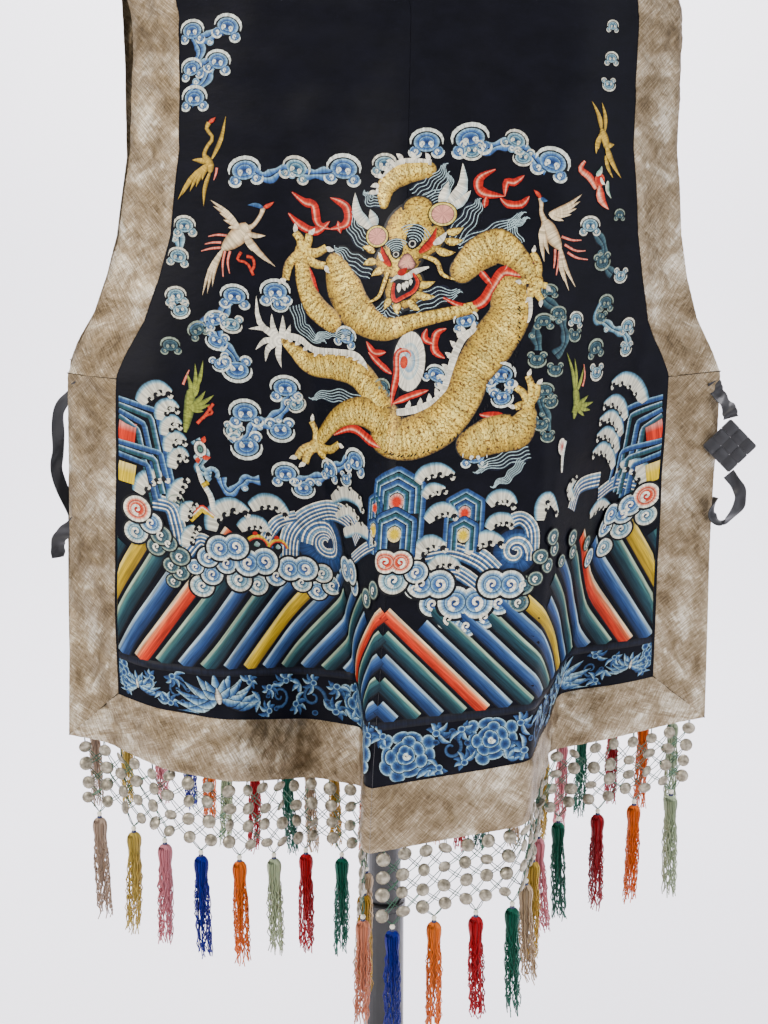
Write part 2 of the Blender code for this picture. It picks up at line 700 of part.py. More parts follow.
def build_front_fastenings(finish):
    """Two plain fabric bars that hold the front opening shut."""
    across = np.linspace(-BAR_HALF_LENGTH, BAR_HALF_LENGTH, 5)[None, :].repeat(2, axis=0)
    for number, below in enumerate(BAR_LEVELS):
        levels = below + np.array([[-BAR_HALF_WIDTH], [BAR_HALF_WIDTH]]) + 0.0 * across
        cloth_wall(f"front_fastening_{number + 1}", "front", across, levels, finish, BAR_WALL, CLOTH + 2 * SEAM)


def level_ring(shape, width, depth, height, sides):
    """An oval level ring about the pole's axis."""
    angles = [2 * math.pi * k / sides for k in range(sides)]
    return shape.ring([(width * math.cos(angle), depth * math.sin(angle), height) for angle in angles])


def turned(name, profile, finish, sides=SIDES, tubular=False):
    """A solid about the pole's axis, from (half width, half depth, height) levels.

    Its ends are flat discs, or, for a tube, its levels run round the section and meet again.
    """
    shape = Shape()
    rings = [level_ring(shape, width, depth, height, sides) for width, depth, height in profile]
    for upper, lower in zip(rings, rings[1:]):
        shape.bridge(upper, lower)
    if tubular:
        shape.bridge(rings[-1], rings[0])
    else:
        shape.faces += [rings[0][::-1], rings[-1]]
    return shape.finish(name, finish)


def round_levels(outline, foot):
    """Levels of a round piece from its (radius, height) outline, raised to its foot."""
    return [(radius, radius, foot + height) for radius, height in outline]


def build_torso(finish):
    """A smooth limbless body: oval levels up to the shoulders, which end just under the cloth's seam, and a neck."""
    levels = [(width, depth, height) for height, width, depth in TORSO_LEVELS]
    for width, depth in SHOULDER_LEVELS:
        levels.append((width, depth, NECK_POINT_Z - SHOULDER_SEAT_GAP - SHOULDER_SLOPE * width))
    levels += [(width, depth, height) for height, width, depth in NECK_LEVELS]
    turned("form_torso", levels, finish)


def build_stand(jersey, enamel):
    """The form and its stand: torso, neck cap, underside plate, two tubes, collar and round base."""
    build_torso(jersey)
    turned("form_neck_cap", round_levels(NECK_CAP, NECK_TOP_Z + SEAM), enamel)
    plate_foot = TORSO_BOTTOM_Z - SEAM - PLATE[-1][1]
    turned("form_plate", round_levels(PLATE, plate_foot), enamel)
    pole = ((POLE_UPPER_RADIUS, 0.0), (POLE_UPPER_RADIUS, plate_foot - SEAM - POLE_UPPER_BOTTOM))
    turned("pole_upper", round_levels(pole, POLE_UPPER_BOTTOM), enamel)
    foot = BASE_HEIGHT + SEAM
    turned("pole_lower", round_levels(POLE_LOWER, foot), enamel, tubular=True)
    turned("base", round_levels(BASE, 0.0), enamel, BASE_SIDES)


def main():
    for old in list(bpy.data.objects):
        bpy.data.objects.remove(old)
    satin = material("black_satin", (0.010, 0.011, 0.020), 0.42)
    ribbon_metal = material("silver_ribbon", (0.52, 0.46, 0.36), 0.38, 0.7)
    thread = material("green_thread_net", (0.45, 0.42, 0.33), 0.5, 0.3)
    floss = material("silk_tassels", (0.55, 0.28, 0.10), 0.6)
    silk = material("black_silk_ribbon", (0.008, 0.008, 0.011), 0.5)
    jersey = material("form_jersey", (0.012, 0.012, 0.013), 0.85)
    enamel = material("black_enamel", (0.010, 0.010, 0.011), 0.35)
    for side in ("back", "front"):
        for hand in ("left", "right"):
            build_panel(side, hand, satin)
            build_side_borders(side, hand, ribbon_metal)
            build_hem_border(side, hand, ribbon_metal)
            build_neck_border(side, hand, ribbon_metal)
            build_net(side, hand, thread)
            build_tassels(side, hand, floss)
    build_opening_border("left", ribbon_metal)
    build_opening_border("right", ribbon_metal)
    build_left_tie("left_tie_upper", SLIT_BELOW + LEFT_UPPER_TIE_BELOW_SLIT, LEFT_UPPER_TIE, LEFT_UPPER_TWIST, silk)
    start = SLIT_BELOW + LEFT_LOWER_TIE_BELOW_SLIT
    build_left_tie("left_tie_lower", start, LEFT_LOWER_TIE, LEFT_LOWER_TWIST, silk, SHORT_RIBBON_STATIONS)
    build_right_tie(silk)
    build_front_fastenings(silk)
    build_stand(jersey, enamel)


main()
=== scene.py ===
"""Dresses an embroidered ceremonial vest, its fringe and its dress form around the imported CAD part.

Every point of the cloth is given on the flat cut, in metres: how far across from the centre seam, and how
far below the neck point. One surface class folds the cut into the hanging garment, so the satin, its
embroidery, the borders and the net all follow the same folds.
"""

import logging
import math
from dataclasses import dataclass, field
from enum import Enum

import bpy
import numpy as np
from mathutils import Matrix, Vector

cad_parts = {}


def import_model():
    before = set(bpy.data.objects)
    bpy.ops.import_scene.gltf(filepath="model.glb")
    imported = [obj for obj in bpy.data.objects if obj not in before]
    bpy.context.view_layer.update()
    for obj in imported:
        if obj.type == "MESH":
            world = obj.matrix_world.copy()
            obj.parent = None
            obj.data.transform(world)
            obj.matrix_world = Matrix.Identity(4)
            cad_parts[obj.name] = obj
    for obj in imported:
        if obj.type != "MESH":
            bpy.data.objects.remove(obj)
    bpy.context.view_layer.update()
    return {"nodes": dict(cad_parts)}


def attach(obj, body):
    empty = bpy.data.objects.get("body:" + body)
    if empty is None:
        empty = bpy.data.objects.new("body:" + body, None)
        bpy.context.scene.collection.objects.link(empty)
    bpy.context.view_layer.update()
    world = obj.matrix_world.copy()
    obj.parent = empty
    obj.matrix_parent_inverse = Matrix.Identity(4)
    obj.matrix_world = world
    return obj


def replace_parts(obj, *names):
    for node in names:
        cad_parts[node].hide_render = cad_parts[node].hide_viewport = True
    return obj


LOG = logging.getLogger("vest")
FORM_BODY = "form"
Points = np.ndarray
Colour = tuple[float, float, float]
Stops = tuple[tuple[float, Colour], ...]
# Two figures, such as a place of the picture in pixels
Pair = tuple[float, float]
Route = list[Pair]
Socket = bpy.types.NodeSocket
Material = bpy.types.Material
Piece = bpy.types.Object
WHITE: Colour = (1.0, 1.0, 1.0)


class Side(Enum):
    """The back of the garment, which faces the camera, or its front."""

    BACK = "back"
    FRONT = "front"


class Hand(Enum):
    """The half of the garment on the left or right as the back is seen; the value is the sign of X."""

    LEFT = -1
    RIGHT = 1

    @property
    def word(self) -> str:
        """The hand's name, as node names use it."""
        return self.name.lower()


@dataclass(frozen=True)
class Cut:
    """Sizes of the flat cut and of its fringe, in metres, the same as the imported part's."""

    neck_point_z: float = 1.646
    corner_below: float = 1.100
    slit_below: float = 0.676
    hem_point_drop: float = 0.100
    shoulder_slope: float = 0.22
    neck_half_width: float = 0.082
    back_neck_depth: float = 0.054
    front_neck_depth: float = 0.100
    border: float = 0.068
    border_at_point: float = 0.076
    neck_border: float = 0.030
    mitre_rise: float = 0.052
    slit_dip: float = 0.003
    slit_rise: float = 0.002
    seam_gap: float = 0.0004
    cloth: float = 0.0016
    over_depth: float = 0.118
    over_drop: float = 0.100
    body_flat_half: float = 0.150
    body_turn_width: float = 0.120
    net_row: float = 0.0215
    net_rows: int = 4
    net_first: float = 0.004
    net_end_inset: float = 0.006
    tassels: int = 11

    @property
    def over_length(self) -> float:
        """Length of the quarter ellipse over the shoulder: pi / 2 times its half axes' root mean square."""
        return math.pi / 2 * math.sqrt((self.over_depth**2 + self.over_drop**2) / 2)

    @property
    def mitre_below(self) -> float:
        """Level of the inner end of the mitre between the side and hem borders."""
        return self.corner_below - self.mitre_rise

    @property
    def half_hem(self) -> float:
        """Half the cut's width at the hem's corners."""
        return float(self.half_width(self.corner_below))

    def half_width(self, below: Points) -> Points:
        """Half the cut's width at a level, borders included."""
        return between(HALF_WIDTHS, below)

    def hem_share(self, across: Points) -> Points:
        """0 at the hem's point and 1 at its corners."""
        return np.clip(np.abs(across) / self.half_hem, 0.0, 1.0)

    def hem_below(self, across: Points) -> Points:
        """Level of the pointed hem: a straight line from its point to its corner."""
        return self.corner_below + self.hem_point_drop * (1.0 - self.hem_share(across))

    def hem_border(self, across: Points) -> Points:
        """The hem border's width, a little more at the point than at the sides."""
        return self.border_at_point + (self.border - self.border_at_point) * self.hem_share(across)

    def field_below(self, across: Points) -> Points:
        """Level of the hem border's inner edge."""
        return self.hem_below(across) - self.hem_border(across)


# below, half width
HALF_WIDTHS = np.array(
    [
        [0.060, 0.346],
        [0.250, 0.342],
        [0.410, 0.340],
        [0.510, 0.356],
        [0.560, 0.372],
        [0.610, 0.394],
        [0.650, 0.422],
        [0.676, 0.437],
        [0.800, 0.459],
        [1.100, 0.527],
    ]
)
# below, turn at the left side in degrees, at the right side
BODY_TURNS = np.array(
    [[0.0, 28.0, 32.0], [0.3, 28.0, 32.0], [0.52, 22.0, 18.0], [0.676, 10.0, 10.0], [1.1, 0.0, 0.0]]
)
# below, share of the folds' depth at the hem
FOLD_GROWTH = np.array([[0.30, 0.0], [0.45, 0.12], [0.676, 0.46], [0.90, 0.76], [1.10, 1.0], [1.40, 1.1]])
# below, the back seam's place across
CENTRE_LINE = np.array(
    [[0.09, 0.0], [0.26, 0.031], [0.51, 0.026], [0.76, 0.014], [1.10, -0.012], [1.30, -0.020]]
)
# from, to, turn at the hem in degrees, share of the fold that each bend takes
FOLDS = {
    Side.BACK: (
        (-0.500, -0.370, -32.0, 0.30),
        (-0.340, -0.175, 40.0, 0.30),
        (-0.148, 0.003, -88.0, 0.12),
        (0.158, 0.350, 75.0, 0.16),
        (0.380, 0.510, 10.0, 0.30),
    ),
    Side.FRONT: (
        (-0.510, -0.400, -30.0, 0.25),
        (-0.370, -0.230, 50.0, 0.25),
        (-0.200, -0.060, -45.0, 0.25),
        (0.070, 0.210, 45.0, 0.25),
        (0.240, 0.370, -50.0, 0.25),
        (0.400, 0.510, 35.0, 0.25),
    ),
}
STANDS_OUT = {Side.BACK: 0.180, Side.FRONT: 0.080}
CUT = Cut()


def smooth(t: Points) -> Points:
    """0 to 1 with a soft start and end: 3t^2 - 2t^3."""
    t = np.clip(t, 0.0, 1.0)
    return t * t * (3.0 - 2.0 * t)


def between(table: Points, places: Points, column: int = 1) -> Points:
    """Reads a table's column at places along its first one."""
    return np.interp(places, table[:, 0], table[:, column])


def steps_of(path: Points) -> Points:
    """The lengths of a path's steps."""
    return np.linalg.norm(np.diff(path, axis=0), axis=1)


def run_along(path: Points) -> Points:
    """How far along a path each of its points lies."""
    return np.concatenate([[0.0], np.cumsum(steps_of(path))])


def unit_of(vectors: Points) -> Points:
    """Vectors of length 1 in the same directions."""
    return vectors / np.maximum(np.linalg.norm(vectors, axis=-1, keepdims=True), 1e-9)


def headings(line: Points) -> tuple[Points, Points]:
    """Unit vectors along a line on the cut, and unit vectors a quarter turn clockwise from them."""
    forward = unit_of(np.gradient(line, axis=0))
    return forward, np.stack([-forward[:, 1], forward[:, 0]], -1)


def on_circle(angles: Points | float) -> Points:
    """Places on a circle of radius 1."""
    return np.stack([np.cos(angles), np.sin(angles)], -1)


def linear(hex_colour: str) -> Colour:
    """A screen colour such as "#8a7a63" as linear light.

    Args:
        hex_colour: six hex digits after a hash.
    Returns:
        Red, green and blue: each c / 12.92 where dark, else ((c + 0.055) / 1.055) ** 2.4.
    """
    screen = [int(hex_colour[k : k + 2], 16) / 255 for k in (1, 3, 5)]
    return tuple(c / 12.92 if c <= 0.04045 else ((c + 0.055) / 1.055) ** 2.4 for c in screen)


def ripple(across: Points, below: Points, lengths: Pair, seed: int) -> Points:
    """A smooth irregular height of about -1 to 1, from nine sine waves.

    Args:
        across: places on the cut.
        below: places on the cut.
        lengths: typical wavelength across and down, in metres.
        seed: which pattern.
    """
    waves = 9
    rng = np.random.default_rng(seed)
    total = np.zeros(np.broadcast(across, below).shape)
    for _ in range(waves):
        k = 2 * math.pi * rng.normal(0.0, 0.75, 2) / np.array(lengths)
        total += np.sin(across * k[0] + below * k[1] + rng.uniform(0, 2 * math.pi))
    return total / math.sqrt(waves)


class Cloth:
    """One side's folded surface, tabulated over the cut and read between its points."""

    STEP_ACROSS = 0.002
    STEP_BELOW = 0.0025
    # wavelengths across and down, height, seed
    WRINKLES = (((0.26, 0.045), 0.0011, 4), ((0.09, 0.10), 0.0006, 8), ((0.16, 0.13), 0.0011, 15))

    def __init__(self, side: Side) -> None:
        self.side = side
        self.across = np.arange(-0.60, 0.6001, self.STEP_ACROSS)
        self.below = np.arange(0.0, 1.50, self.STEP_BELOW)
        across, below = np.meshgrid(self.across, self.below)
        place = self._fold(across, below)
        normal = self._normals(place)
        self.place = place + normal * self._wrinkles(across, below)[..., None]
        self.normal = self._normals(self.place)

    def _heading(self, across: Points, below: Points) -> Points:
        """Direction of a level line, in radians from +X: round the body, plus the folds' turns."""
        left, right = (between(BODY_TURNS, below, column) for column in (1, 2))
        rounded = smooth((np.abs(across) - CUT.body_flat_half) / CUT.body_turn_width)
        total = np.where(across < 0, -left, right) * rounded
        growth = between(FOLD_GROWTH, below)
        for start, end, turn, bend in FOLDS[self.side]:
            t = (across - start) / (end - start)
            total = total + turn * growth * smooth(t / bend) * smooth((1.0 - t) / bend)
        return np.radians(total)

    def _fold(self, across: Points, below: Points) -> Points:
        """The folded surface: level lines keep their cut length, and the shoulder is an ellipse."""
        heading = self._heading((across[:, 1:] + across[:, :-1]) / 2, below[:, 1:])
        centre = len(self.across) // 2
        runs = []
        start = np.zeros((len(self.below), 1))
        for part in (np.cos(heading), np.sin(heading)):
            run = np.concatenate([start, np.cumsum(part * self.STEP_ACROSS, axis=1)], axis=1)
            runs.append(run - run[:, centre : centre + 1])
        past_seam = np.maximum(below - CUT.shoulder_slope * np.abs(across), 0.0)
        angle = np.minimum(past_seam / CUT.over_length, 1.0) * math.pi / 2
        depth = CUT.over_depth * np.sin(angle)
        drop = CUT.over_drop * (1.0 - np.cos(angle)) + np.maximum(past_seam - CUT.over_length, 0.0)
        turned = runs[1] * np.sin(angle) - STANDS_OUT[self.side] * between(FOLD_GROWTH, below)
        z = CUT.neck_point_z - CUT.shoulder_slope * np.abs(across) - drop
        if self.side is Side.FRONT:
            return np.stack([runs[0], depth - turned, z], -1)
        x = runs[0] + between(CENTRE_LINE, below) * np.sin(angle)
        return np.stack([x, turned - depth, z], -1)

    def _normals(self, place: Points) -> Points:
        """Unit normals out of the garment: the cross product of the grid's two directions."""
        normal = unit_of(np.cross(np.gradient(place, axis=1), np.gradient(place, axis=0)))
        return normal if self.side is Side.FRONT else -normal

    def _wrinkles(self, across: Points, below: Points) -> Points:
        """Small wrinkles: soft level creases in the plain upper field, gentle waves below."""
        upper = smooth((below - 0.16) / 0.08) * smooth((0.46 - below) / 0.12)
        creases, small, gentle = (
            ripple(across, below, lengths, seed) * height for lengths, height, seed in self.WRINKLES
        )
        return (creases + small) * upper + gentle * smooth((below - 0.12) / 0.2)

    def _read(self, table: Points, across: Points, below: Points) -> Points:
        """Reads a table between its four nearest points."""
        u = np.clip((across - self.across[0]) / self.STEP_ACROSS, 0, len(self.across) - 1.001)
        v = np.clip(below / self.STEP_BELOW, 0, len(self.below) - 1.001)
        i, j = u.astype(int), v.astype(int)
        fu, fv = (u - i)[..., None], (v - j)[..., None]
        upper = table[j, i] * (1 - fu) + table[j, i + 1] * fu
        lower = table[j + 1, i] * (1 - fu) + table[j + 1, i + 1] * fu
        return upper * (1 - fv) + lower * fv

    def at(self, across: Points, below: Points, lift: Points | float = 0.0) -> Points:
        """Points of the hanging cloth, moved out by lift."""
        across, below = np.broadcast_arrays(np.asarray(across, float), np.asarray(below, float))
        lift = np.broadcast_to(np.asarray(lift, float), across.shape)
        return self._read(self.place, across, below) + self.out(across, below) * lift[..., None]

    def out(self, across: Points, below: Points) -> Points:
        """Unit normals at places on the cut."""
        across, below = np.broadcast_arrays(np.asarray(across, float), np.asarray(below, float))
        normal = self._read(self.normal, across, below)
        return normal / np.linalg.norm(normal, axis=-1, keepdims=True)


@dataclass(frozen=True)
class Grid:
    """A grid of points with a colour and a stitch coordinate each."""

    points: Points
    colours: Points
    stitches: Points


@dataclass
class Batch:
    """Grids of points that become one mesh object."""

    name: str
    grids: list[Grid] = field(default_factory=list)

    def add(self, points: Points, colours: Points | Colour, stitches: Points | None = None) -> None:
        """Adds a grid of points.

        Args:
            points: rows x columns x 3.
            colours: one colour, or rows x columns x 3.
            stitches: rows x columns x 2 in metres, or none.
        """
        shape = points.shape[:2]
        colours = np.broadcast_to(np.asarray(colours, float), (*shape, 3))
        if stitches is None:
            stitches = np.zeros((*shape, 2))
        self.grids.append(Grid(points, colours, stitches))

    def rim(self, outer: Points, inner: Points, stitches: Points | None = None) -> None:
        """Closes the four edges between two grids, with the stitches of those edges or none."""
        for edge in (np.s_[0], np.s_[-1], np.s_[:, 0], np.s_[:, -1]):
            own = None if stitches is None else np.stack([stitches[edge], stitches[edge]])
            self.add(np.stack([outer[edge], inner[edge]]), WHITE, own)

    def finish(self, material: Material, body: str, slot: str) -> Piece:
        """Makes the object, with its colours, stitch coordinates, material and body."""
        faces = []
        start = 0
        for grid in self.grids:
            rows, columns = grid.points.shape[:2]
            index = np.arange(rows * columns).reshape(rows, columns) + start
            quads = np.stack([index[:-1, :-1], index[1:, :-1], index[1:, 1:], index[:-1, 1:]], -1)
            faces.append(quads.reshape(-1, 4))
            start += rows * columns
        points = np.concatenate([g.points.reshape(-1, 3) for g in self.grids])
        colours = np.concatenate([g.colours.reshape(-1, 3) for g in self.grids])
        stitches = np.concatenate([g.stitches.reshape(-1, 2) for g in self.grids])
        return mesh_piece(self.name, points, np.concatenate(faces), colours, stitches, material, body)


def mesh_piece(
    name: str,
    points: Points,
    quads: Points,
    colours: Points,
    stitches: Points,
    material: Material,
    body: str,
) -> Piece:
    """One smooth-shaded mesh object from arrays, riding on a body."""
    mesh = bpy.data.meshes.new(name)
    mesh.vertices.add(len(points))
    mesh.vertices.foreach_set("co", points.astype(np.float32).ravel())
    mesh.loops.add(quads.size)
    mesh.loops.foreach_set("vertex_index", quads.astype(np.int32).ravel())
    mesh.polygons.add(len(quads))
    mesh.polygons.foreach_set("loop_start", np.arange(0, quads.size, 4, dtype=np.int32))
    mesh.polygons.foreach_set("loop_total", np.full(len(quads), 4, np.int32))
    mesh.update(calc_edges=True)
    mesh.validate(clean_customdata=False)
    loops = np.zeros(len(mesh.loops), np.int32)
    mesh.loops.foreach_get("vertex_index", loops)
    uv = mesh.uv_layers.new(name="stitch")
    uv.data.foreach_set("uv", stitches[loops].astype(np.float32).ravel())
    dye = mesh.color_attributes.new(name="dye", type="FLOAT_COLOR", domain="POINT")
    rgba = np.concatenate([colours, np.ones((len(colours), 1))], axis=1)
    dye.data.foreach_set("color", rgba.astype(np.float32).ravel())
    mesh.shade_smooth()
    mesh.materials.append(material)
    piece = bpy.data.objects.new(name, mesh)
    bpy.context.scene.collection.objects.link(piece)
    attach(piece, body)
    return piece


def tube(path: Points, radii: Points | float, sides: int = 4) -> Points:
    """Rings of points round a path: rows along it, columns round it with the first repeated.

    Args:
        path: count x 3.
        radii: one radius or one for each point.
        sides: how many points a ring has.
    """
    forward = unit_of(np.gradient(path, axis=0))
    guide = np.where(np.abs(forward[:, 2:3]) > 0.9, np.array([[1.0, 0.0, 0.0]]), np.array([[0.0, 0.0, 1.0]]))
    first = unit_of(np.cross(forward, guide))
    second = np.cross(forward, first)
    angles = np.linspace(0.0, 2 * math.pi, sides + 1)
    radii = np.broadcast_to(np.asarray(radii, float), (len(path),))[:, None, None]
    cosines, sines = np.cos(angles)[None, :, None], np.sin(angles)[None, :, None]
    ring = cosines * first[:, None, :] + sines * second[:, None, :]
    return path[:, None, :] + ring * radii


def smooth_path(points: Points | list, count: int) -> Points:
    """A smooth curve through points (Catmull and Rom's spline), evenly read.

    Args:
        points: at least two points of any dimension.
        count: how many points the curve gets.
    """
    points = np.asarray(points, float)
    t = np.linspace(0.0, len(points) - 1, count)
    k = np.clip(t.astype(int), 0, len(points) - 2)
    f = (t - k)[:, None]
    before = points[np.maximum(k - 1, 0)]
    after = points[np.minimum(k + 2, len(points) - 1)]
    a, b = points[k], points[k + 1]
    bend = 2 * before - 5 * a + 4 * b - after
    twist = 3 * a - before - 3 * b + after
    return 0.5 * (2 * a + (b - before) * f + bend * f**2 + twist * f**3)


@dataclass
class Look:
    """Builds one procedural material node by node."""

    name: str
    material: Material = field(init=False)

    def __post_init__(self) -> None:
        self.material = bpy.data.materials.new(self.name)
        self.material.use_nodes = True
        self.tree = self.material.node_tree
        self.shader = self.tree.nodes["Principled BSDF"]

    def add(self, kind: str, inputs: dict | None = None, **settings) -> bpy.types.Node:
        """Adds a node, sets its properties, and sets or links its inputs.

        Args:
            kind: the node's type name.
            inputs: socket name or number to a value, or to another node's output socket.
            settings: the node's own properties.
        """
        made = self.tree.nodes.new(kind)
        for key, value in settings.items():
            setattr(made, key, value)
        for key, value in (inputs or {}).items():
            if isinstance(value, Socket):
                self.tree.links.new(value, made.inputs[key])
            else:
                made.inputs[key].default_value = value
        return made

    def stitch(self) -> Socket:
        """The piece's own coordinates on the cut, in metres."""
        return self.add("ShaderNodeUVMap", uv_map="stitch").outputs["UV"]

    def place(self) -> Socket:
        """The piece's own place in space."""
        return self.add("ShaderNodeTexCoord").outputs["Object"]

    def dye(self) -> Socket:
        """The piece's own dye."""
        return self.add("ShaderNodeVertexColor", layer_name="dye").outputs["Color"]

    def noise(self, where: Socket, stretch: tuple[float, float, float], **inputs) -> Socket:
        """Noise of about one blot per unit after the coordinates are multiplied by stretch."""
        scaled = self.add("ShaderNodeVectorMath", {0: where, 1: stretch}, operation="MULTIPLY").outputs[0]
        values = {"Vector": scaled, "Scale": 1.0, "Detail": 4.0, "Roughness": 0.55}
        values.update({key.capitalize(): value for key, value in inputs.items()})
        return self.add("ShaderNodeTexNoise", values).outputs["Fac"]

    def ramp(self, factor: Socket, *stops: tuple[float, Colour]) -> Socket:
        """Colours at places from 0 to 1, blended between."""
        made = self.add("ShaderNodeValToRGB", {"Fac": factor})
        for _ in range(len(stops) - 2):
            made.color_ramp.elements.new(0.5)
        for element, (place, colour) in zip(made.color_ramp.elements, stops):
            element.position = place
            element.color = (*colour, 1.0)
        return made.outputs["Color"]

    def span(self, factor: Socket, low: float, high: float) -> Socket:
        """Maps 0 to 1 onto low to high."""
        return self.add(
            "ShaderNodeMapRange", {"Value": factor, "To Min": low, "To Max": high}
        ).outputs["Result"]

    def mix(self, factor, first, second, blend: str = "MIX") -> Socket:
        """Mixes two colours."""
        made = self.add(
            "ShaderNodeMix", {"Factor": factor, 6: first, 7: second}, data_type="RGBA", blend_type=blend
        )
        return made.outputs[2]

    def shaded(self, colour, factor, dark: Pair, light: Pair) -> Socket:
        """A colour times greys that follow a factor; dark and light are each a place and its grey."""
        greys = self.ramp(factor, *((place, (grey, grey, grey)) for place, grey in (dark, light)))
        return self.mix(1.0, colour, greys, "MULTIPLY")

    def bump(self, height: Socket, distance: float, strength: float, after=None) -> Socket:
        """Relief from a height, in metres, on top of another bump's normal."""
        inputs = {"Height": height, "Distance": distance, "Strength": strength}
        if after is not None:
            inputs["Normal"] = after
        return self.add("ShaderNodeBump", inputs).outputs["Normal"]

    def finish(self, **sockets) -> Material:
        """Sets or links the shader's sockets, named with underscores for spaces."""
        for key, value in sockets.items():
            socket = self.shader.inputs[key.replace("_", " ").title().replace("Ior", "IOR")]
            if isinstance(value, Socket):
                self.tree.links.new(value, socket)
            else:
                socket.default_value = value
        return self.material


def black_satin() -> Material:
    """Blue-black silk satin: fine level slubs of 0.4 mm, soft blotches of about 40 mm."""
    look = Look("black_silk_satin")
    where = look.stitch()
    slubs = look.noise(where, (120.0, 2600.0, 1.0), detail=2.0)
    warp = look.noise(where, (2600.0, 90.0, 1.0), detail=2.0)
    blots = look.noise(where, (26.0, 40.0, 1.0), detail=3.0)
    weave = look.mix(0.5, look.span(slubs, 0.0, 1.0), look.span(warp, 0.0, 1.0))
    dark, light = linear("#030409"), linear("#0e0f19")
    colour = look.ramp(look.mix(0.55, weave, blots), (0.30, dark), (0.75, light))
    relief = look.bump(weave, 0.0002, 0.35)
    relief = look.bump(look.noise(where, (70.0, 130.0, 1.0), detail=4.0), 0.0012, 0.35, relief)
    return look.finish(
        base_color=colour,
        roughness=look.span(blots, 0.42, 0.56),
        specular_ior_level=0.10,
        normal=relief,
    )


def metal_ribbon() -> Material:
    """Ribbon of flat silvery-gold metal thread woven on the bias, 1.4 mm ribs, crushed; its colour carries
    painted highlights and painted shade.
    """
    look = Look("metallic_bias_ribbon")
    where = look.stitch()
    turned = look.add(
        "ShaderNodeMapping", {"Vector": where, "Rotation": (0.0, 0.0, math.radians(42.0))}
    ).outputs[0]
    ribs = look.noise(turned, (45.0, 720.0, 1.0), detail=3.0, roughness=0.6)
    cross = look.noise(turned, (900.0, 40.0, 1.0), detail=2.0, roughness=0.6)
    crush = look.noise(where, (34.0, 34.0, 1.0), detail=9.0, roughness=0.68, distortion=0.6)
    # large patches that are brighter in colour, which is painted highlight, and smoother in roughness
    shine_patches = look.noise(where, (11.0, 9.0, 1.0), detail=6.0, roughness=0.62)
    weave = look.mix(0.35, ribs, cross)
    scaled = look.add(
        "ShaderNodeVectorMath", {0: where, 1: (21.0, 17.0, 1.0)}, operation="MULTIPLY"
    ).outputs[0]
    values = {"Vector": scaled, "Scale": 1.0, "Detail": 2.0, "Roughness": 0.5}
    creases = look.add("ShaderNodeTexNoise", values, noise_type="RIDGED_MULTIFRACTAL").outputs["Fac"]
    # colour from the crushed relief and the large patches over the weave's own tone: the near-white stops are
    # painted highlights, the darkest ones painted shade in the crumples
    tone = look.mix(0.34, look.mix(0.42, shine_patches, crush), weave)
    colour = look.ramp(
        tone,
        (0.38, linear("#3d301e")),
        (0.46, linear("#75644a")),
        (0.52, linear("#9c8b70")),
        (0.57, linear("#d2c6ae")),
        (0.62, linear("#fffaf0")),
    )
    relief = look.bump(weave, 0.0008, 0.70)
    relief = look.bump(crush, 0.0070, 0.60, relief)
    relief = look.bump(creases, 0.0070, 0.75, relief)
    return look.finish(base_color=colour, roughness=look.span(shine_patches, 0.46, 0.22), metallic=0.80, normal=relief)


def thread(
    name: str, roughness: float, pitch: float, metallic: float = 0.0, stippled: bool = False
) -> Material:
    """Embroidery threads in the piece's own dye, laid across the stitch coordinate.

    Args:
        name: the material's name.
        roughness: of the threads.
        pitch: from thread to thread, in metres.
        metallic: 0 for silk floss, more for couched metal thread.
        stippled: whether dark and bright grains break up the dye, as in couched gold; the bright grains are
            painted glints.
    """
    look = Look(name)
    where = look.stitch()
    dye = look.dye()
    lay = look.noise(where, (0.62 / pitch, 0.035 / pitch, 1.0), detail=2.0, roughness=0.5)
    skeins = look.noise(where, (0.26 / pitch, 0.012 / pitch, 1.0), detail=1.0, roughness=0.5)
    place = look.place()
    grain = look.noise(place, (420.0, 420.0, 420.0), detail=3.0, roughness=0.6)
    colour = look.shaded(dye, lay, (0.25, 0.58), (0.70, 1.14))
    colour = look.shaded(colour, skeins, (0.36, 0.66), (0.62, 1.16))
    if stippled:
        # the stipple's brightest grains are painted glints on the couched gold
        warm, glint = (1.02, 0.93, 0.66), (1.30, 1.26, 1.0)
        stipple = look.ramp(grain, (0.38, linear("#80601c")), (0.47, warm), (0.60, glint))
        colour = look.mix(1.0, colour, stipple, "MULTIPLY")
    relief = look.bump(lay, 0.0004, 0.6)
    relief = look.bump(grain, 0.0005, 0.8 if stippled else 0.35, relief)
    return look.finish(
        base_color=colour,
        roughness=roughness,
        metallic=metallic,
        specular_ior_level=0.5 if metallic else 0.18,
        normal=relief,
    )


def coin_metal() -> Material:
    """Small tarnished discs, silvery khaki, dull with brighter rubbed spots."""
    look = Look("tarnished_disc_metal")
    place = look.place()
    spots = look.noise(place, (160.0, 160.0, 160.0), detail=5.0)
    colour = look.ramp(spots, (0.30, linear("#5c5647")), (0.50, linear("#8e8673")), (0.72, linear("#c2baa6")))
    relief = look.bump(spots, 0.0006, 0.4)
    return look.finish(
        base_color=colour, roughness=look.span(spots, 0.46, 0.30), metallic=0.62, normal=relief
    )


def silk_ribbon() -> Material:
    """Black ribbed silk ribbon, ribs 0.7 mm apart."""
    look = Look("black_ribbed_silk")
    ribs = look.noise(look.stitch(), (1500.0, 60.0, 1.0), detail=2.0)
    colour = look.ramp(ribs, (0.3, linear("#08080b")), (0.7, linear("#17171d")))
    return look.finish(
        base_color=colour, roughness=0.48, sheen_weight=0.15, normal=look.bump(ribs, 0.0003, 0.5)
    )


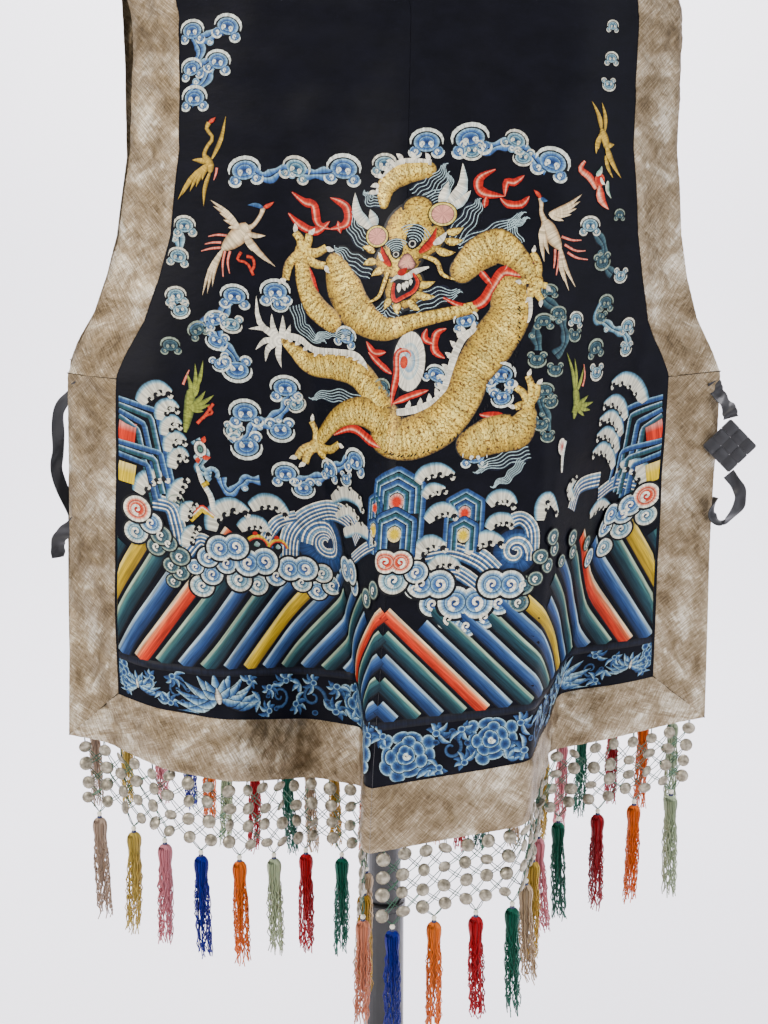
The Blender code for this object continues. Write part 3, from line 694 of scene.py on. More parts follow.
def jersey() -> Material:
    """Smooth black jersey over the padded form, loops of about 1.2 mm."""
    look = Look("black_form_jersey")
    place = look.place()
    loops = look.noise(place, (850.0, 850.0, 420.0), detail=1.0)
    soft = look.noise(place, (14.0, 14.0, 14.0), detail=3.0)
    colour = look.ramp(look.mix(0.5, loops, soft), (0.35, linear("#101012")), (0.70, linear("#1e1e21")))
    return look.finish(
        base_color=colour, roughness=0.88, sheen_weight=0.25, normal=look.bump(loops, 0.0003, 0.5)
    )


def enamel() -> Material:
    """Black stove enamel on steel, with faint wear and dust."""
    look = Look("black_stove_enamel")
    place = look.place()
    wear = look.noise(place, (22.0, 22.0, 6.0), detail=7.0, roughness=0.65)
    orange_peel = look.noise(place, (240.0, 240.0, 240.0), detail=1.0)
    colour = look.ramp(wear, (0.35, linear("#0c0c0d")), (0.80, linear("#232324")))
    relief = look.bump(orange_peel, 0.0002, 0.25)
    return look.finish(
        base_color=colour, roughness=look.span(wear, 0.26, 0.46), coat_weight=0.15, normal=relief
    )


def bead_glass() -> Material:
    """Small glazed beads in their own dye."""
    look = Look("glazed_bead")
    dye = look.dye()
    place = look.place()
    cloudy = look.noise(place, (500.0, 500.0, 500.0), detail=3.0)
    colour = look.shaded(dye, cloudy, (0.3, 0.8), (0.7, 1.1))
    return look.finish(
        base_color=colour, roughness=0.25, coat_weight=0.3, normal=look.bump(cloudy, 0.0003, 0.2)
    )


@dataclass(frozen=True)
class Materials:
    """Every material of the scene."""

    satin: Material
    ribbon: Material
    floss: Material
    gold: Material
    net: Material
    disc: Material
    tassel: Material
    bead: Material
    tie: Material
    jersey: Material
    enamel: Material

    @classmethod
    def make(cls) -> "Materials":
        """Builds them all."""
        return cls(
            satin=black_satin(),
            ribbon=metal_ribbon(),
            floss=thread("silk_floss", 0.48, 0.0008),
            gold=thread("couched_gold_thread", 0.40, 0.0009, metallic=0.25, stippled=True),
            net=thread("green_net_thread", 0.60, 0.0006),
            disc=coin_metal(),
            tassel=thread("tassel_floss", 0.55, 0.0006),
            bead=bead_glass(),
            tie=silk_ribbon(),
            jersey=jersey(),
            enamel=enamel(),
        )


class Tailor:
    """Cuts and hangs the satin and the borders of one side of the garment."""

    BORDER_LIFT = 0.0010
    BORDER_WALL = 0.0012
    # level where the width of the satin's first row is read
    TOP_LEVEL = 0.06
    # how far the satin goes on under the borders at the sides, the hem and the neck
    UNDER_SIDE = 0.004
    UNDER_HEM = 0.005
    UNDER_NECK = 0.0057
    # height of the ribbon's large and small creases, and of the pucker at its edges
    CRUSH = 0.0015
    FINE_CRUSH = 0.0006
    PUCKER = 0.0004
    # a curved ribbon that fills less of its box than this is declared shorter, so that it fills half of it
    THIN_FILL = 0.31
    DECLARED_FILL = 0.5

    def __init__(self, cloth: Cloth, materials: Materials) -> None:
        self.cloth = cloth
        self.side = cloth.side
        self.materials = materials

    def inner_half(self, below: Points) -> Points:
        """Where the side border's inner edge lies."""
        return CUT.half_width(below) - CUT.border

    @property
    def centre(self) -> float:
        """Where the half panel starts: the back seam, or the front opening."""
        return 0.0002 if self.side is Side.BACK else 0.0006

    @property
    def neck_depth(self) -> float:
        """How far the neckline drops below the neck point."""
        return CUT.back_neck_depth if self.side is Side.BACK else CUT.front_neck_depth

    def top_edge(self, across: Points) -> Points:
        """The upper edge of the cloth: the neckline's quarter ellipse, then the shoulder seam."""
        inside = np.clip(np.abs(across) / CUT.neck_half_width, 0.0, 1.0)
        return CUT.shoulder_slope * np.abs(across) + self.neck_depth * np.sqrt(1.0 - inside**2)

    def shell(
        self,
        name: str,
        across: Points,
        below: Points,
        lift: Points | float,
        wall: float,
        uv: Points,
        material: Material,
        slot: str,
    ) -> Piece:
        """A thin closed piece of cloth over a grid of places on the cut, wall thick and lift above it."""
        outer = self.cloth.at(across, below, np.asarray(lift) + wall)
        inner = self.cloth.at(across, below, lift)
        batch = Batch(name)
        flip = (outer[0, 0, 0] > outer[0, -1, 0]) == (self.side is Side.BACK)
        faces = (outer, inner[:, ::-1]) if flip else (outer[:, ::-1], inner)
        batch.add(faces[0], WHITE, uv if flip else uv[:, ::-1])
        batch.add(faces[1], WHITE, uv[:, ::-1] if flip else uv)
        batch.rim(outer, inner, uv)
        return batch.finish(material, FORM_BODY, slot)

    def sheet(self, across: Points, below: Points) -> None:
        """Works out a piece of cloth's cut size and the area that its outline encloses, and keeps neither."""
        edge_across = np.concatenate([across[0], across[1:, -1], across[-1, ::-1][1:], across[::-1, 0][1:]])
        edge_below = np.concatenate([below[0], below[1:, -1], below[-1, ::-1][1:], below[::-1, 0][1:]])
        area = abs(np.sum(edge_across * np.roll(edge_below, -1) - edge_below * np.roll(edge_across, -1))) / 2
        width = float(np.ptp(edge_across))
        length = float(np.ptp(edge_below))
        area = min(area, width * length)
        if area < self.THIN_FILL * width * length:
            length = area / (self.DECLARED_FILL * width)

    def panel(self, hand: Hand) -> None:
        """Half a panel of satin, its edges under the borders."""
        columns = np.linspace(0.0, 1.0, 66)
        rows = np.linspace(0.0, 1.0, 118)[:, None] ** 1.1
        low = CUT.corner_below - 0.03
        levels = self.TOP_LEVEL + (low - self.TOP_LEVEL) * rows
        reach = self.inner_half(levels) + self.UNDER_SIDE
        across = self.centre + (reach - self.centre) * columns
        tucked = smooth((CUT.neck_half_width + 0.8 * CUT.neck_border - across) / 0.010)
        top = self.top_edge(across) + 0.0003 + self.UNDER_NECK * tucked
        bottom = CUT.field_below(across) + self.UNDER_HEM
        below = top + (bottom - top) * rows
        signed = across * hand.value
        uv = np.stack([signed, below], -1)
        name = f"{self.side.value}_{hand.word}_satin"
        piece = self.shell(name, signed, below, 0.0, CUT.cloth, uv, self.materials.satin, "black_satin")
        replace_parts(piece, f"{self.side.value}_{hand.word}_panel")
        self.sheet(signed, below)

    def strip(
        self, part: str, hand: Hand, inner: tuple[Points, Points], outer: tuple[Points, Points]
    ) -> None:
        """A metallic ribbon between two edges on the cut, crushed a little, with its edges drawn in.

        Args:
            part: which border it is, as node names call it.
            hand: the half of the garment.
            inner: places along the inner edge, across and below.
            outer: the same along the outer edge.
        """
        name = f"{self.side.value}_{hand.word}_{part}_ribbon"
        inner, outer = np.stack(inner, -1), np.stack(outer, -1)
        shares = np.linspace(0.0, 1.0, 22)[None, :, None]
        places = inner[:, None, :] + (outer - inner)[:, None, :] * shares
        across, below = places[..., 0] * hand.value, places[..., 1]
        along = run_along((inner + outer) / 2)
        wide = np.linalg.norm(outer - inner, axis=1)
        uv = np.stack(np.broadcast_arrays(along[:, None], wide[:, None] * shares[..., 0]), -1)
        edge = np.minimum(shares[..., 0], 1.0 - shares[..., 0])
        seed = sum(map(ord, name)) % 97
        crush = np.abs(ripple(across + below, below - across, (0.10, 0.030), seed)) * self.CRUSH
        crush = crush + ripple(across - below, below + across, (0.05, 0.016), seed + 1) * self.FINE_CRUSH
        pucker = self.PUCKER * np.sin(along * 2 * math.pi / 0.012)[:, None] * np.exp(-edge / 0.06)
        lift = self.BORDER_LIFT + (crush + 0.0005) * smooth(edge / 0.10) + pucker
        piece = self.shell(
            name, across, below, lift, self.BORDER_WALL, uv, self.materials.ribbon, "silver_ribbon"
        )
        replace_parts(piece, f"{self.side.value}_{hand.word}_{part}_border")
        self.sheet(across, below)

    def seams(self, hand: Hand) -> None:
        """Dark sewn creases where the ribbons meet: at the slit, and on the mitre of the lower corner."""
        batch = Batch(f"{self.side.value}_{hand.word}_border_seams")
        mitre, slit = CUT.mitre_below, CUT.slit_below
        slit_ends = (float(self.inner_half(slit)), float(CUT.half_width(slit)))
        ends = (
            ((slit_ends[0], slit + CUT.slit_dip), (slit_ends[1], slit - CUT.slit_rise)),
            ((float(self.inner_half(mitre)), mitre), (CUT.half_hem, CUT.corner_below)),
        )
        for first, last in ends:
            t = np.linspace(0.0, 1.0, 24)[:, None]
            path = np.array(first) * (1 - t) + np.array(last) * t
            line = self.cloth.at(path[:, 0] * hand.value, path[:, 1], 0.0026)
            batch.add(tube(line, 0.0007, 5), linear("#2e261c"))
        batch.finish(self.materials.net, FORM_BODY, "silver_ribbon")

    def borders(self, hand: Hand) -> None:
        """The ribbon borders of one half: armhole, side, hem, neck, and the opening in front."""
        self.sides(hand)
        self.hem(hand)
        self.neck(hand)
        if self.side is Side.FRONT:
            self.opening(hand)

    def sides(self, hand: Hand) -> None:
        """The armhole's ribbon down to the slit, and the side's from there to the mitre."""
        starts = (CUT.shoulder_slope * self.inner_half(0.0), CUT.shoulder_slope * float(CUT.half_width(0.0)))
        slit = (CUT.slit_below + CUT.slit_dip, CUT.slit_below - CUT.slit_rise)
        under = tuple(level + CUT.seam_gap for level in slit)
        ends = (CUT.mitre_below, CUT.corner_below)
        for part, first, last, count in (("armhole", starts, slit, 110), ("side", under, ends, 80)):
            t = np.linspace(0.0, 1.0, count)
            inner, outer = (a + (b - a) * t for a, b in zip(first, last))
            self.strip(part, hand, (self.inner_half(inner), inner), (CUT.half_width(outer), outer))

    def hem(self, hand: Hand) -> None:
        """The hem's ribbon, mitred to the side's."""
        t = np.linspace(0.0, 1.0, 150)
        inner = self.centre + (float(self.inner_half(CUT.mitre_below)) - self.centre) * t
        if self.side is Side.FRONT:
            inner = CUT.border + (inner[-1] - CUT.border) * t
        outer = self.centre + (CUT.half_hem - self.centre) * t
        inner_below = CUT.field_below(inner)
        inner_below += (CUT.mitre_below + CUT.seam_gap - inner_below[-1]) * smooth((t - 0.8) / 0.2)
        self.strip("hem", hand, (inner, inner_below), (outer, CUT.hem_below(outer)))

    def neck(self, hand: Hand) -> None:
        """The neck's narrow ribbon, from the seam or the opening round to the shoulder."""
        start = 0.0 if self.side is Side.BACK else 0.03
        angle = np.linspace(start, math.pi / 2, 40)
        edges = []
        for wider in (0.0, CUT.neck_border):
            across = (CUT.neck_half_width + wider) * np.sin(angle)
            edges.append((across, CUT.shoulder_slope * across + (self.neck_depth + wider) * np.cos(angle)))
        self.strip("neck", hand, *edges)

    def opening(self, hand: Hand) -> None:
        """The ribbon along the front opening."""
        t = np.linspace(0.0, 1.0, 150)
        top = CUT.front_neck_depth + CUT.neck_border - 0.004
        edges = []
        for across, low in ((CUT.border, CUT.field_below(CUT.border)), (0.0008, CUT.hem_below(0.0))):
            edges.append((np.full_like(t, across), top + (float(low) - CUT.seam_gap - top) * t))
        self.strip("opening", hand, *edges)


@dataclass(frozen=True)
class Dye:
    """Colours of silk and thread, as linear light."""

    cream: Colour = linear("#efe9d2")
    ivory: Colour = linear("#d9d6c0")
    mist: Colour = linear("#aec8c8")
    sky: Colour = linear("#7fa6ba")
    azure: Colour = linear("#416a90")
    blue: Colour = linear("#224272")
    navy: Colour = linear("#142748")
    ink: Colour = linear("#101626")
    black: Colour = linear("#0a0b11")
    teal: Colour = linear("#1f4a50")
    sage: Colour = linear("#5f8a7a")
    celadon: Colour = linear("#a9c2a5")
    red: Colour = linear("#b21a08")
    coral: Colour = linear("#d9522e")
    blush: Colour = linear("#efae90")
    yellow: Colour = linear("#d8b40c")
    ochre: Colour = linear("#8d7416")
    gold: Colour = linear("#d6b648")
    pale_gold: Colour = linear("#f1dc80")
    deep_gold: Colour = linear("#8d6f22")
    rose: Colour = linear("#e39a86")


DYE = Dye()
# Back tassels, from the outer corner to the centre seam
TASSEL_DYES = {
    Hand.LEFT: (
        "#c6ab93", "#dcc05c", "#e8939b", "#0e1e92", "#f2761a", "#bccaa2", "#c2141f", "#0a6a52", "#c2a887",
        "#bb9026", "#de8c68",
    ),
    Hand.RIGHT: (
        "#b4c49e", "#ee6f1a", "#a6121f", "#0c6249", "#e58c94", "#cda83f", "#c4aa86", "#0c6049", "#be1220",
        "#f07a22", "#10228c",
    ),
}


class Fringe:
    """The knotted net with its discs, beads and tassels along one side's hem."""

    DISC = 0.0080
    THREAD = 0.00062
    # from the hem to the first row of discs, and from the last row to a tassel's bead
    FIRST_DROP = 0.0105
    LAST_DROP = 0.0150
    STRANDS = 32
    STEPS = 20
    SKIRT = 0.0052
    # where a tassel's head ends and its threads come loose
    NECK = 0.026
    # how far down, radius: a tassel's core under its threads, its bead and its bound knot
    CORE = (
        (0.0085, 0.0010),
        (0.0115, 0.0056),
        (0.0160, 0.0074),
        (0.0240, 0.0068),
        (0.0340, 0.0052),
        (0.060, 0.0044),
        (0.085, 0.0030),
        (0.100, 0.0),
    )
    BEAD = ((0.0, 0.0), (0.0008, 0.0024), (0.003, 0.0032), (0.0052, 0.0024), (0.006, 0.0))
    KNOT = ((0.005, 0.0012), (0.0065, 0.0030), (0.0078, 0.0032), (0.0090, 0.0016))
    # the same for its threads, which swell over the head and draw in under it
    HEAD = np.array(
        [[0.008, 0.0014], [0.011, 0.0064], [0.016, 0.0082], [0.023, 0.0078], [0.032, 0.0062], [0.15, 0.0050]]
    )

    def __init__(self, cloth: Cloth, materials: Materials) -> None:
        self.cloth = cloth
        self.materials = materials
        self.low = CUT.net_first
        self.high = CUT.half_hem - CUT.net_end_inset

    def build(self, hand: Hand) -> None:
        """Threads, discs, beads and tassels of one half hem."""
        side, word = self.cloth.side.value, hand.word
        rng = np.random.default_rng(31 + 7 * (hand is Hand.LEFT) + 3 * (self.cloth.side is Side.FRONT))
        columns = 2 * CUT.tassels
        pitch = (self.high - self.low) / columns
        even = self.low + pitch * (np.arange(columns) + 0.5)
        across = even[None, :] + rng.normal(0, 0.0009, (CUT.net_rows, columns))
        row = np.arange(CUT.net_rows)[:, None]
        below = CUT.hem_below(across) + self.FIRST_DROP + row * CUT.net_row
        below = below + rng.normal(0, 0.0012, across.shape)
        across = across * hand.value
        knots = self.cloth.at(across, below, rng.normal(0.0, 0.0012, across.shape))
        threads = Batch(f"{side}_{word}_net_threads")
        green = np.array(linear("#4a6f5a"))
        hem = self.cloth.at(across[0], CUT.hem_below(across[0]) - 0.002, 0.0006)
        for c in range(columns):
            self._line(threads, hem[c], knots[0, c], green, rng)
            for r in range(CUT.net_rows - 1):
                for step in (-1, 1):
                    if 0 <= c + step < columns:
                        shade = green * rng.uniform(0.7, 1.5)
                        self._line(threads, knots[r, c], knots[r + 1, c + step], shade, rng)
        ends = []
        for n in range(CUT.tassels):
            pair = knots[-1, 2 * n : 2 * n + 2]
            end = pair.mean(axis=0) + np.array([0.0, 0.0, -self.LAST_DROP]) + rng.normal(0, 0.001, 3)
            ends.append(end)
            for k in range(2):
                self._line(threads, pair[k], end, green, rng)
        net = threads.finish(self.materials.net, FORM_BODY, "green_thread_net")
        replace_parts(net, f"{side}_{word}_net")
        self._discs(f"{side}_{word}_discs", knots, self.cloth.out(across, below), rng)
        dyes = TASSEL_DYES[hand][::-1]
        tassels = Batch(f"{side}_{word}_tassel_floss")
        beads = Batch(f"{side}_{word}_beads")
        for n, end in enumerate(ends):
            self._tassel(tassels, beads, end, np.array(linear(dyes[n])), rng)
        floss = tassels.finish(self.materials.tassel, FORM_BODY, "silk_tassels")
        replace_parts(floss, f"{side}_{word}_tassels")
        beads.finish(self.materials.bead, FORM_BODY, "silk_tassels")

    def _line(
        self, batch: Batch, start: Points, end: Points, colour: Points, rng: np.random.Generator
    ) -> None:
        """Two threads between two points, one nearly taut and one slack."""
        t = np.linspace(0.0, 1.0, 5)[:, None]
        bow = 4 * t * (1 - t)
        for loose in (-0.02, 0.14):
            sag = np.array([0.0, 0.0, -1.0]) * np.linalg.norm(end - start) * loose * bow
            drift = rng.normal(0, 0.0007, 3) * bow
            path = start + (end - start) * t + sag + drift
            batch.add(tube(path, self.THREAD, 3), colour * rng.uniform(0.8, 1.3))

    def _discs(self, name: str, places: Points, normals: Points, rng: np.random.Generator) -> None:
        """Domed discs with a rim, each tilted its own way."""
        radii = np.array([0.0, 0.35, 0.75, 0.94, 1.0, 0.96, 0.0]) * self.DISC
        heights = np.array([0.0034, 0.0031, 0.0020, 0.0010, 0.0, -0.0006, -0.0009])
        turn = np.linspace(0.0, 2 * math.pi, 15)
        batch = Batch(name)
        for place, normal in zip(places.reshape(-1, 3), normals.reshape(-1, 3)):
            facing = unit_of(normal + rng.normal(0.0, 0.26, 3))
            first = unit_of(np.cross(facing, [0.0, 0.0, 1.0]))
            second = np.cross(facing, first)
            ring = np.cos(turn)[:, None] * first + np.sin(turn)[:, None] * second
            size = rng.uniform(0.90, 1.06)
            dome = ring[None] * radii[:, None, None] + facing * heights[:, None, None]
            batch.add(place + facing * 0.001 + dome * size, WHITE)
        batch.finish(self.materials.disc, FORM_BODY, "green_thread_net")

    def _tassel(
        self, floss: Batch, beads: Batch, top: Points, colour: Points, rng: np.random.Generator
    ) -> None:
        """A cream bead, a bound knot, a round head and a crinkled skirt, hanging from the net."""
        turn = np.linspace(0.0, 2 * math.pi, 11)
        ring = np.stack([np.cos(turn), np.sin(turn), 0.0 * turn], -1)

        def turned(profile: tuple) -> Points:
            """Rings at the given depths, each with its radius."""
            rows = np.array(profile)
            return top + ring[None] * rows[:, 1:, None] - np.array([0, 0, 1.0]) * rows[:, :1, None]

        beads.add(turned(self.BEAD), DYE.cream)
        beads.add(turned(self.KNOT), linear("#15204a"))
        # the core takes the tassel's colour at half brightness: painted shade of the inside among the threads
        floss.add(turned(self.CORE), colour * 0.50)
        length = rng.uniform(0.118, 0.130)
        lean = rng.normal(0, 0.004, 2)
        t = np.linspace(0.0, 1.0, self.STEPS) ** 1.35
        for k in range(self.STRANDS):
            angle = 2 * math.pi * k * 0.618 + rng.uniform(-0.2, 0.2)
            own = length * rng.uniform(0.88, 1.06)
            down = 0.0082 + own * t
            spread = math.sqrt(rng.uniform(0.0, 1.0)) - 0.35
            flare = self.SKIRT * spread * smooth((down - self.NECK) / 0.040)
            radius = between(self.HEAD, down) + flare
            loose = smooth((down - 0.022) / 0.020)
            crinkle = rng.uniform(0.0005, 0.0012) * loose * (1.0 + t)
            phase = rng.uniform(0, 2 * math.pi, 2)
            beat = rng.uniform(300.0, 560.0)
            x = radius * math.cos(angle) + crinkle * np.sin(beat * down + phase[0]) + lean[0] * t**2
            y = radius * math.sin(angle) + crinkle * np.cos(beat * down + phase[1]) + lean[1] * t**2
            path = top + np.stack([x, y, -down], -1)
            shade = colour * rng.uniform(0.70, 1.25)
            floss.add(tube(path, np.where(down < self.NECK, 0.00095, 0.00072), 3), shade)


class Haberdasher:
    """Black silk ties at the slits, and the bars that close the front."""

    THICK = 0.0010
    # the knot reaches this far up and down from its middle
    KNOT_REACH = 0.0344

    def __init__(self, back: Cloth, front: Cloth, materials: Materials) -> None:
        self.back = back
        self.front = front
        self.materials = materials

    def place(self, hand: Hand, inset: float, below: float, lift: float) -> Points:
        """A place near the back's side edge."""
        across = hand.value * (float(CUT.half_width(below)) - inset)
        return self.back.at(across, below, lift)

    def finish(self, batch: Batch, node: str) -> None:
        """Makes a tie of black silk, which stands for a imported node."""
        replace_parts(batch.finish(self.materials.tie, FORM_BODY, "black_silk_ribbon"), node)

    def ribbon(self, name: str, node: str, route: list, twists: Pair, width: float, seed: int) -> None:
        """A creased flat ribbon along a route; twists give the width's direction at its start and end."""
        count = 60
        path = smooth_path(np.array(route), count)
        tangent = unit_of(np.gradient(path, axis=0))
        t = np.linspace(0.0, 1.0, count)
        angles = np.radians(np.interp(t, [0.3, 1.0], twists)) + 0.25 * np.sin(t * 11 + seed)
        wish = np.stack([np.cos(angles), np.sin(angles), 0.0 * angles], -1)
        wide = unit_of(wish - tangent * np.sum(wish * tangent, axis=1, keepdims=True))
        normal = np.cross(tangent, wide)
        v = np.linspace(-1.0, 1.0, 9)
        crease = 0.0012 * np.sin(t[:, None] * 23 + v[None, :] * 2.2 + seed) + 0.0010 * np.abs(v[None, :])
        half = width / 2 * (1 - 0.10 * np.sin(t * 17 + seed) ** 2)
        middle = path[:, None] + wide[:, None] * (half[:, None] * v)[..., None]
        uv = np.stack(np.broadcast_arrays(run_along(path)[:, None], v[None] * width / 2), -1)
        upper = middle + normal[:, None] * (crease + self.THICK / 2)[..., None]
        lower = middle + normal[:, None] * (crease - self.THICK / 2)[..., None]
        batch = Batch(name)
        batch.add(upper, WHITE, uv)
        batch.add(lower[:, ::-1], WHITE, uv[:, ::-1])
        batch.rim(upper, lower)
        self.finish(batch, node)

    def build(self) -> None:
        """All ties and bars."""
        self.left_ties()
        self.right_ties()
        for number, below in enumerate((0.200, 0.350), 1):
            self.bar(number, below)

    def left_ties(self) -> None:
        """Two short ribbons that hang from behind the left edge."""
        upper = (
            (-0.014, 0.004, -0.034), (-0.018, 0.006, -0.080), (-0.021, 0.006, -0.110),
            (-0.004, 0.010, -0.165),
        )
        lower = ((-0.016, 0.004, -0.028), (-0.020, 0.008, -0.052))
        for name, node, start, step, hangs, twists, width, seed in (
            ("left_tie_silk", "left_tie_upper", 0.010, 0.010, upper, (-25, 60), 0.016, 1),
            ("left_tie_end_silk", "left_tie_lower", 0.170, 0.008, lower, (-27, 30), 0.018, 4),
        ):
            start += CUT.slit_below
            edge = self.place(Hand.LEFT, 0.0, start, -0.001)
            route = [
                self.place(Hand.LEFT, 0.018, start, -0.001),
                self.place(Hand.LEFT, 0.006, start + step, -0.001),
            ]
            self.ribbon(name, node, route + [edge + np.array(hang) for hang in hangs], twists, width, seed)

    def right_ties(self) -> None:
        """A strap to a flat knot, and a loop that hangs under it."""
        strap = self.place(Hand.RIGHT, 0.009, CUT.slit_below + 0.010, 0.0031)
        middle = self.place(Hand.RIGHT, 0.004, CUT.slit_below + 0.024, 0.0037)
        knot = self.place(Hand.RIGHT, 0.0, CUT.slit_below + 0.088, 0.0008) + np.array([0.014, -0.011, 0.0])
        reach = np.array([0.0, 0.0, self.KNOT_REACH])
        near = strap * 0.3 + (knot + reach) * 0.7 + np.array([0.002, -0.003, 0.0])
        route = [strap, middle, near, knot + reach]
        self.ribbon("right_strap_silk", "right_tie_strap", route, (14, 0), 0.019, 2)
        hangs = ((0, 0, 0), (0.014, -0.002, -0.020), (0.012, -0.005, -0.040), (-0.006, -0.009, -0.058))
        hangs += ((-0.020, -0.011, -0.050), (-0.016, -0.009, -0.028))
        route = [knot - reach + np.array(hang) for hang in hangs]
        self.ribbon("right_loop_silk", "right_tie_loop", route, (0, 80), 0.016, 3)
        self.knot(knot)

    def bar(self, number: int, below: float) -> None:
        """A rounded bar across the front opening."""
        u = np.linspace(-0.035, 0.035, 24)
        v = np.linspace(-0.006, 0.006, 7)
        across, level = np.meshgrid(u, below + v)
        crown = 0.003 * np.sqrt(np.clip(1 - (v / 0.0061) ** 2, 0, 1))[:, None]
        batch = Batch(f"front_bar_{number}_silk")
        upper = self.front.at(across, level, CUT.cloth + 0.0006 + crown)
        batch.add(upper, WHITE, np.stack([across, level], -1))
        batch.add(self.front.at(across, level, 0.0022)[:, ::-1], WHITE)
        self.finish(batch, f"front_fastening_{number}")

    def knot(self, centre: Points) -> None:
        """A flat knot plaited from three ribbons each way, standing on its point."""
        batch = Batch("right_knot_plait")
        down, over = unit_of(np.array([[1.0, 0.0, -1.0], [1.0, 0.0, 1.0]]))
        out = np.array([0.0, -1.0, 0.0])
        half, pitch, width = 0.0235, 0.0152, 0.0142
        t = np.linspace(-1.0, 1.0, 40)
        v = np.linspace(-1.0, 1.0, 8)
        for along, wide, phase in ((down, over, 0.0), (over, down, math.pi)):
            for k in (-1, 0, 1):
                wave = 0.0016 * np.cos(t * math.pi * half / pitch + phase + k * math.pi)
                round_edge = 0.0010 * np.sqrt(1 - v**2 * 0.96)
                offset = k * pitch + v[None, :, None] * width / 2
                base = centre + along * (t[:, None, None] * half) + wide * offset
                upper = base + out * (wave[:, None] + round_edge + 0.0012)[..., None]
                lower = base + out * (wave[:, None] - 0.0016 + 0.0 * v)[..., None]
                uv = np.stack(np.broadcast_arrays(t[:, None] * half, v[None] * width / 2), -1)
                batch.add(upper, WHITE, uv)
                batch.add(lower[:, ::-1], WHITE, uv)
                batch.rim(upper, lower)
        self.finish(batch, "right_tie_knot")


class Studio:
    """Floor, backdrop, lights and the camera."""

    POSITION = (0.0, -1.82, 1.189)
    PITCH_DOWN = 10.4
    LENS = 50.0
    SENSOR = 36.0
    # the floor's front edge, where it starts to curve, the curve's radius and the wall's height
    FLOOR_START = -5.0
    FLOOR_END = 2.0
    CURVE = 1.2
    WALL_TOP = 6.0

    def backdrop(self) -> None:
        """A pale floor that curves up into a wall."""
        u = np.linspace(-6.0, 6.0, 3)
        turn = np.linspace(0.0, math.pi / 2, 14)
        end, curve = self.FLOOR_END, self.CURVE
        profile = [(self.FLOOR_START, 0.0), (end, 0.0)]
        profile += [(end + curve * math.sin(a), curve - curve * math.cos(a)) for a in turn[1:]]
        profile.append((end + curve, self.WALL_TOP))
        rows = np.array([[(x, y, z) for x in u] for y, z in profile])
        look = Look("pale_backdrop")
        tone = look.noise(look.place(), (0.5, 0.5, 0.5), detail=2.0)
        colour = look.ramp(tone, (0.3, linear("#f2f0f6")), (0.7, linear("#fbfafc")))
        look.finish(base_color=colour, roughness=0.9)
        index = np.arange(rows.shape[0] * 3).reshape(-1, 3)
        quads = np.stack([index[:-1, :-1], index[:-1, 1:], index[1:, 1:], index[1:, :-1]], -1).reshape(-1, 4)
        mesh = bpy.data.meshes.new("studio_floor")
        mesh.from_pydata([tuple(p) for p in rows.reshape(-1, 3).tolist()], [], quads.tolist())
        mesh.shade_smooth()
        mesh.materials.append(look.material)
        floor = bpy.data.objects.new("studio_floor", mesh)
        bpy.context.scene.collection.objects.link(floor)

    def light(self, name: str, place: tuple, target: tuple, size: tuple, watts: float, colour: str) -> None:
        """A rectangular soft light aimed at a point."""
        data = bpy.data.lights.new(name, "AREA")
        data.shape = "RECTANGLE"
        data.size, data.size_y = size
        data.energy = watts
        data.color = linear(colour)
        lamp = bpy.data.objects.new(name, data)
        lamp.location = place
        lamp.rotation_euler = (Vector(target) - Vector(place)).to_track_quat("-Z", "Y").to_euler()
        bpy.context.scene.collection.objects.link(lamp)

    def lights(self) -> None:
        """Soft light from the upper left and from the right, and a pale surround."""
        self.light("key", (-1.7, -2.2, 2.7), (0.0, 0.0, 1.07), (1.2, 1.2), 70.0, "#fff8f0")
        self.light("fill", (2.2, -1.9, 1.6), (0.0, 0.0, 1.07), (1.6, 2.0), 30.0, "#f4f5ff")
        self.light("wall", (0.0, 0.6, 3.6), (0.0, 3.0, 0.8), (3.0, 1.0), 380.0, "#fbf9ff")
        world = bpy.data.worlds.new("pale_studio")
        world.use_nodes = True
        background = world.node_tree.nodes["Background"]
        background.inputs["Color"].default_value = (*linear("#eeedf4"), 1.0)
        background.inputs["Strength"].default_value = 1.02
        bpy.context.scene.world = world

    def camera(self) -> None:
        """The photograph's view: about chest height, looking a little down."""
        data = bpy.data.cameras.new("camera")
        data.lens = self.LENS
        data.sensor_width = self.SENSOR
        data.sensor_fit = "AUTO"
        camera = bpy.data.objects.new("camera", data)
        camera.location = self.POSITION
        camera.rotation_euler = (math.radians(90.0 - self.PITCH_DOWN), 0.0, 0.0)
        bpy.context.scene.collection.objects.link(camera)
        bpy.context.scene.camera = camera


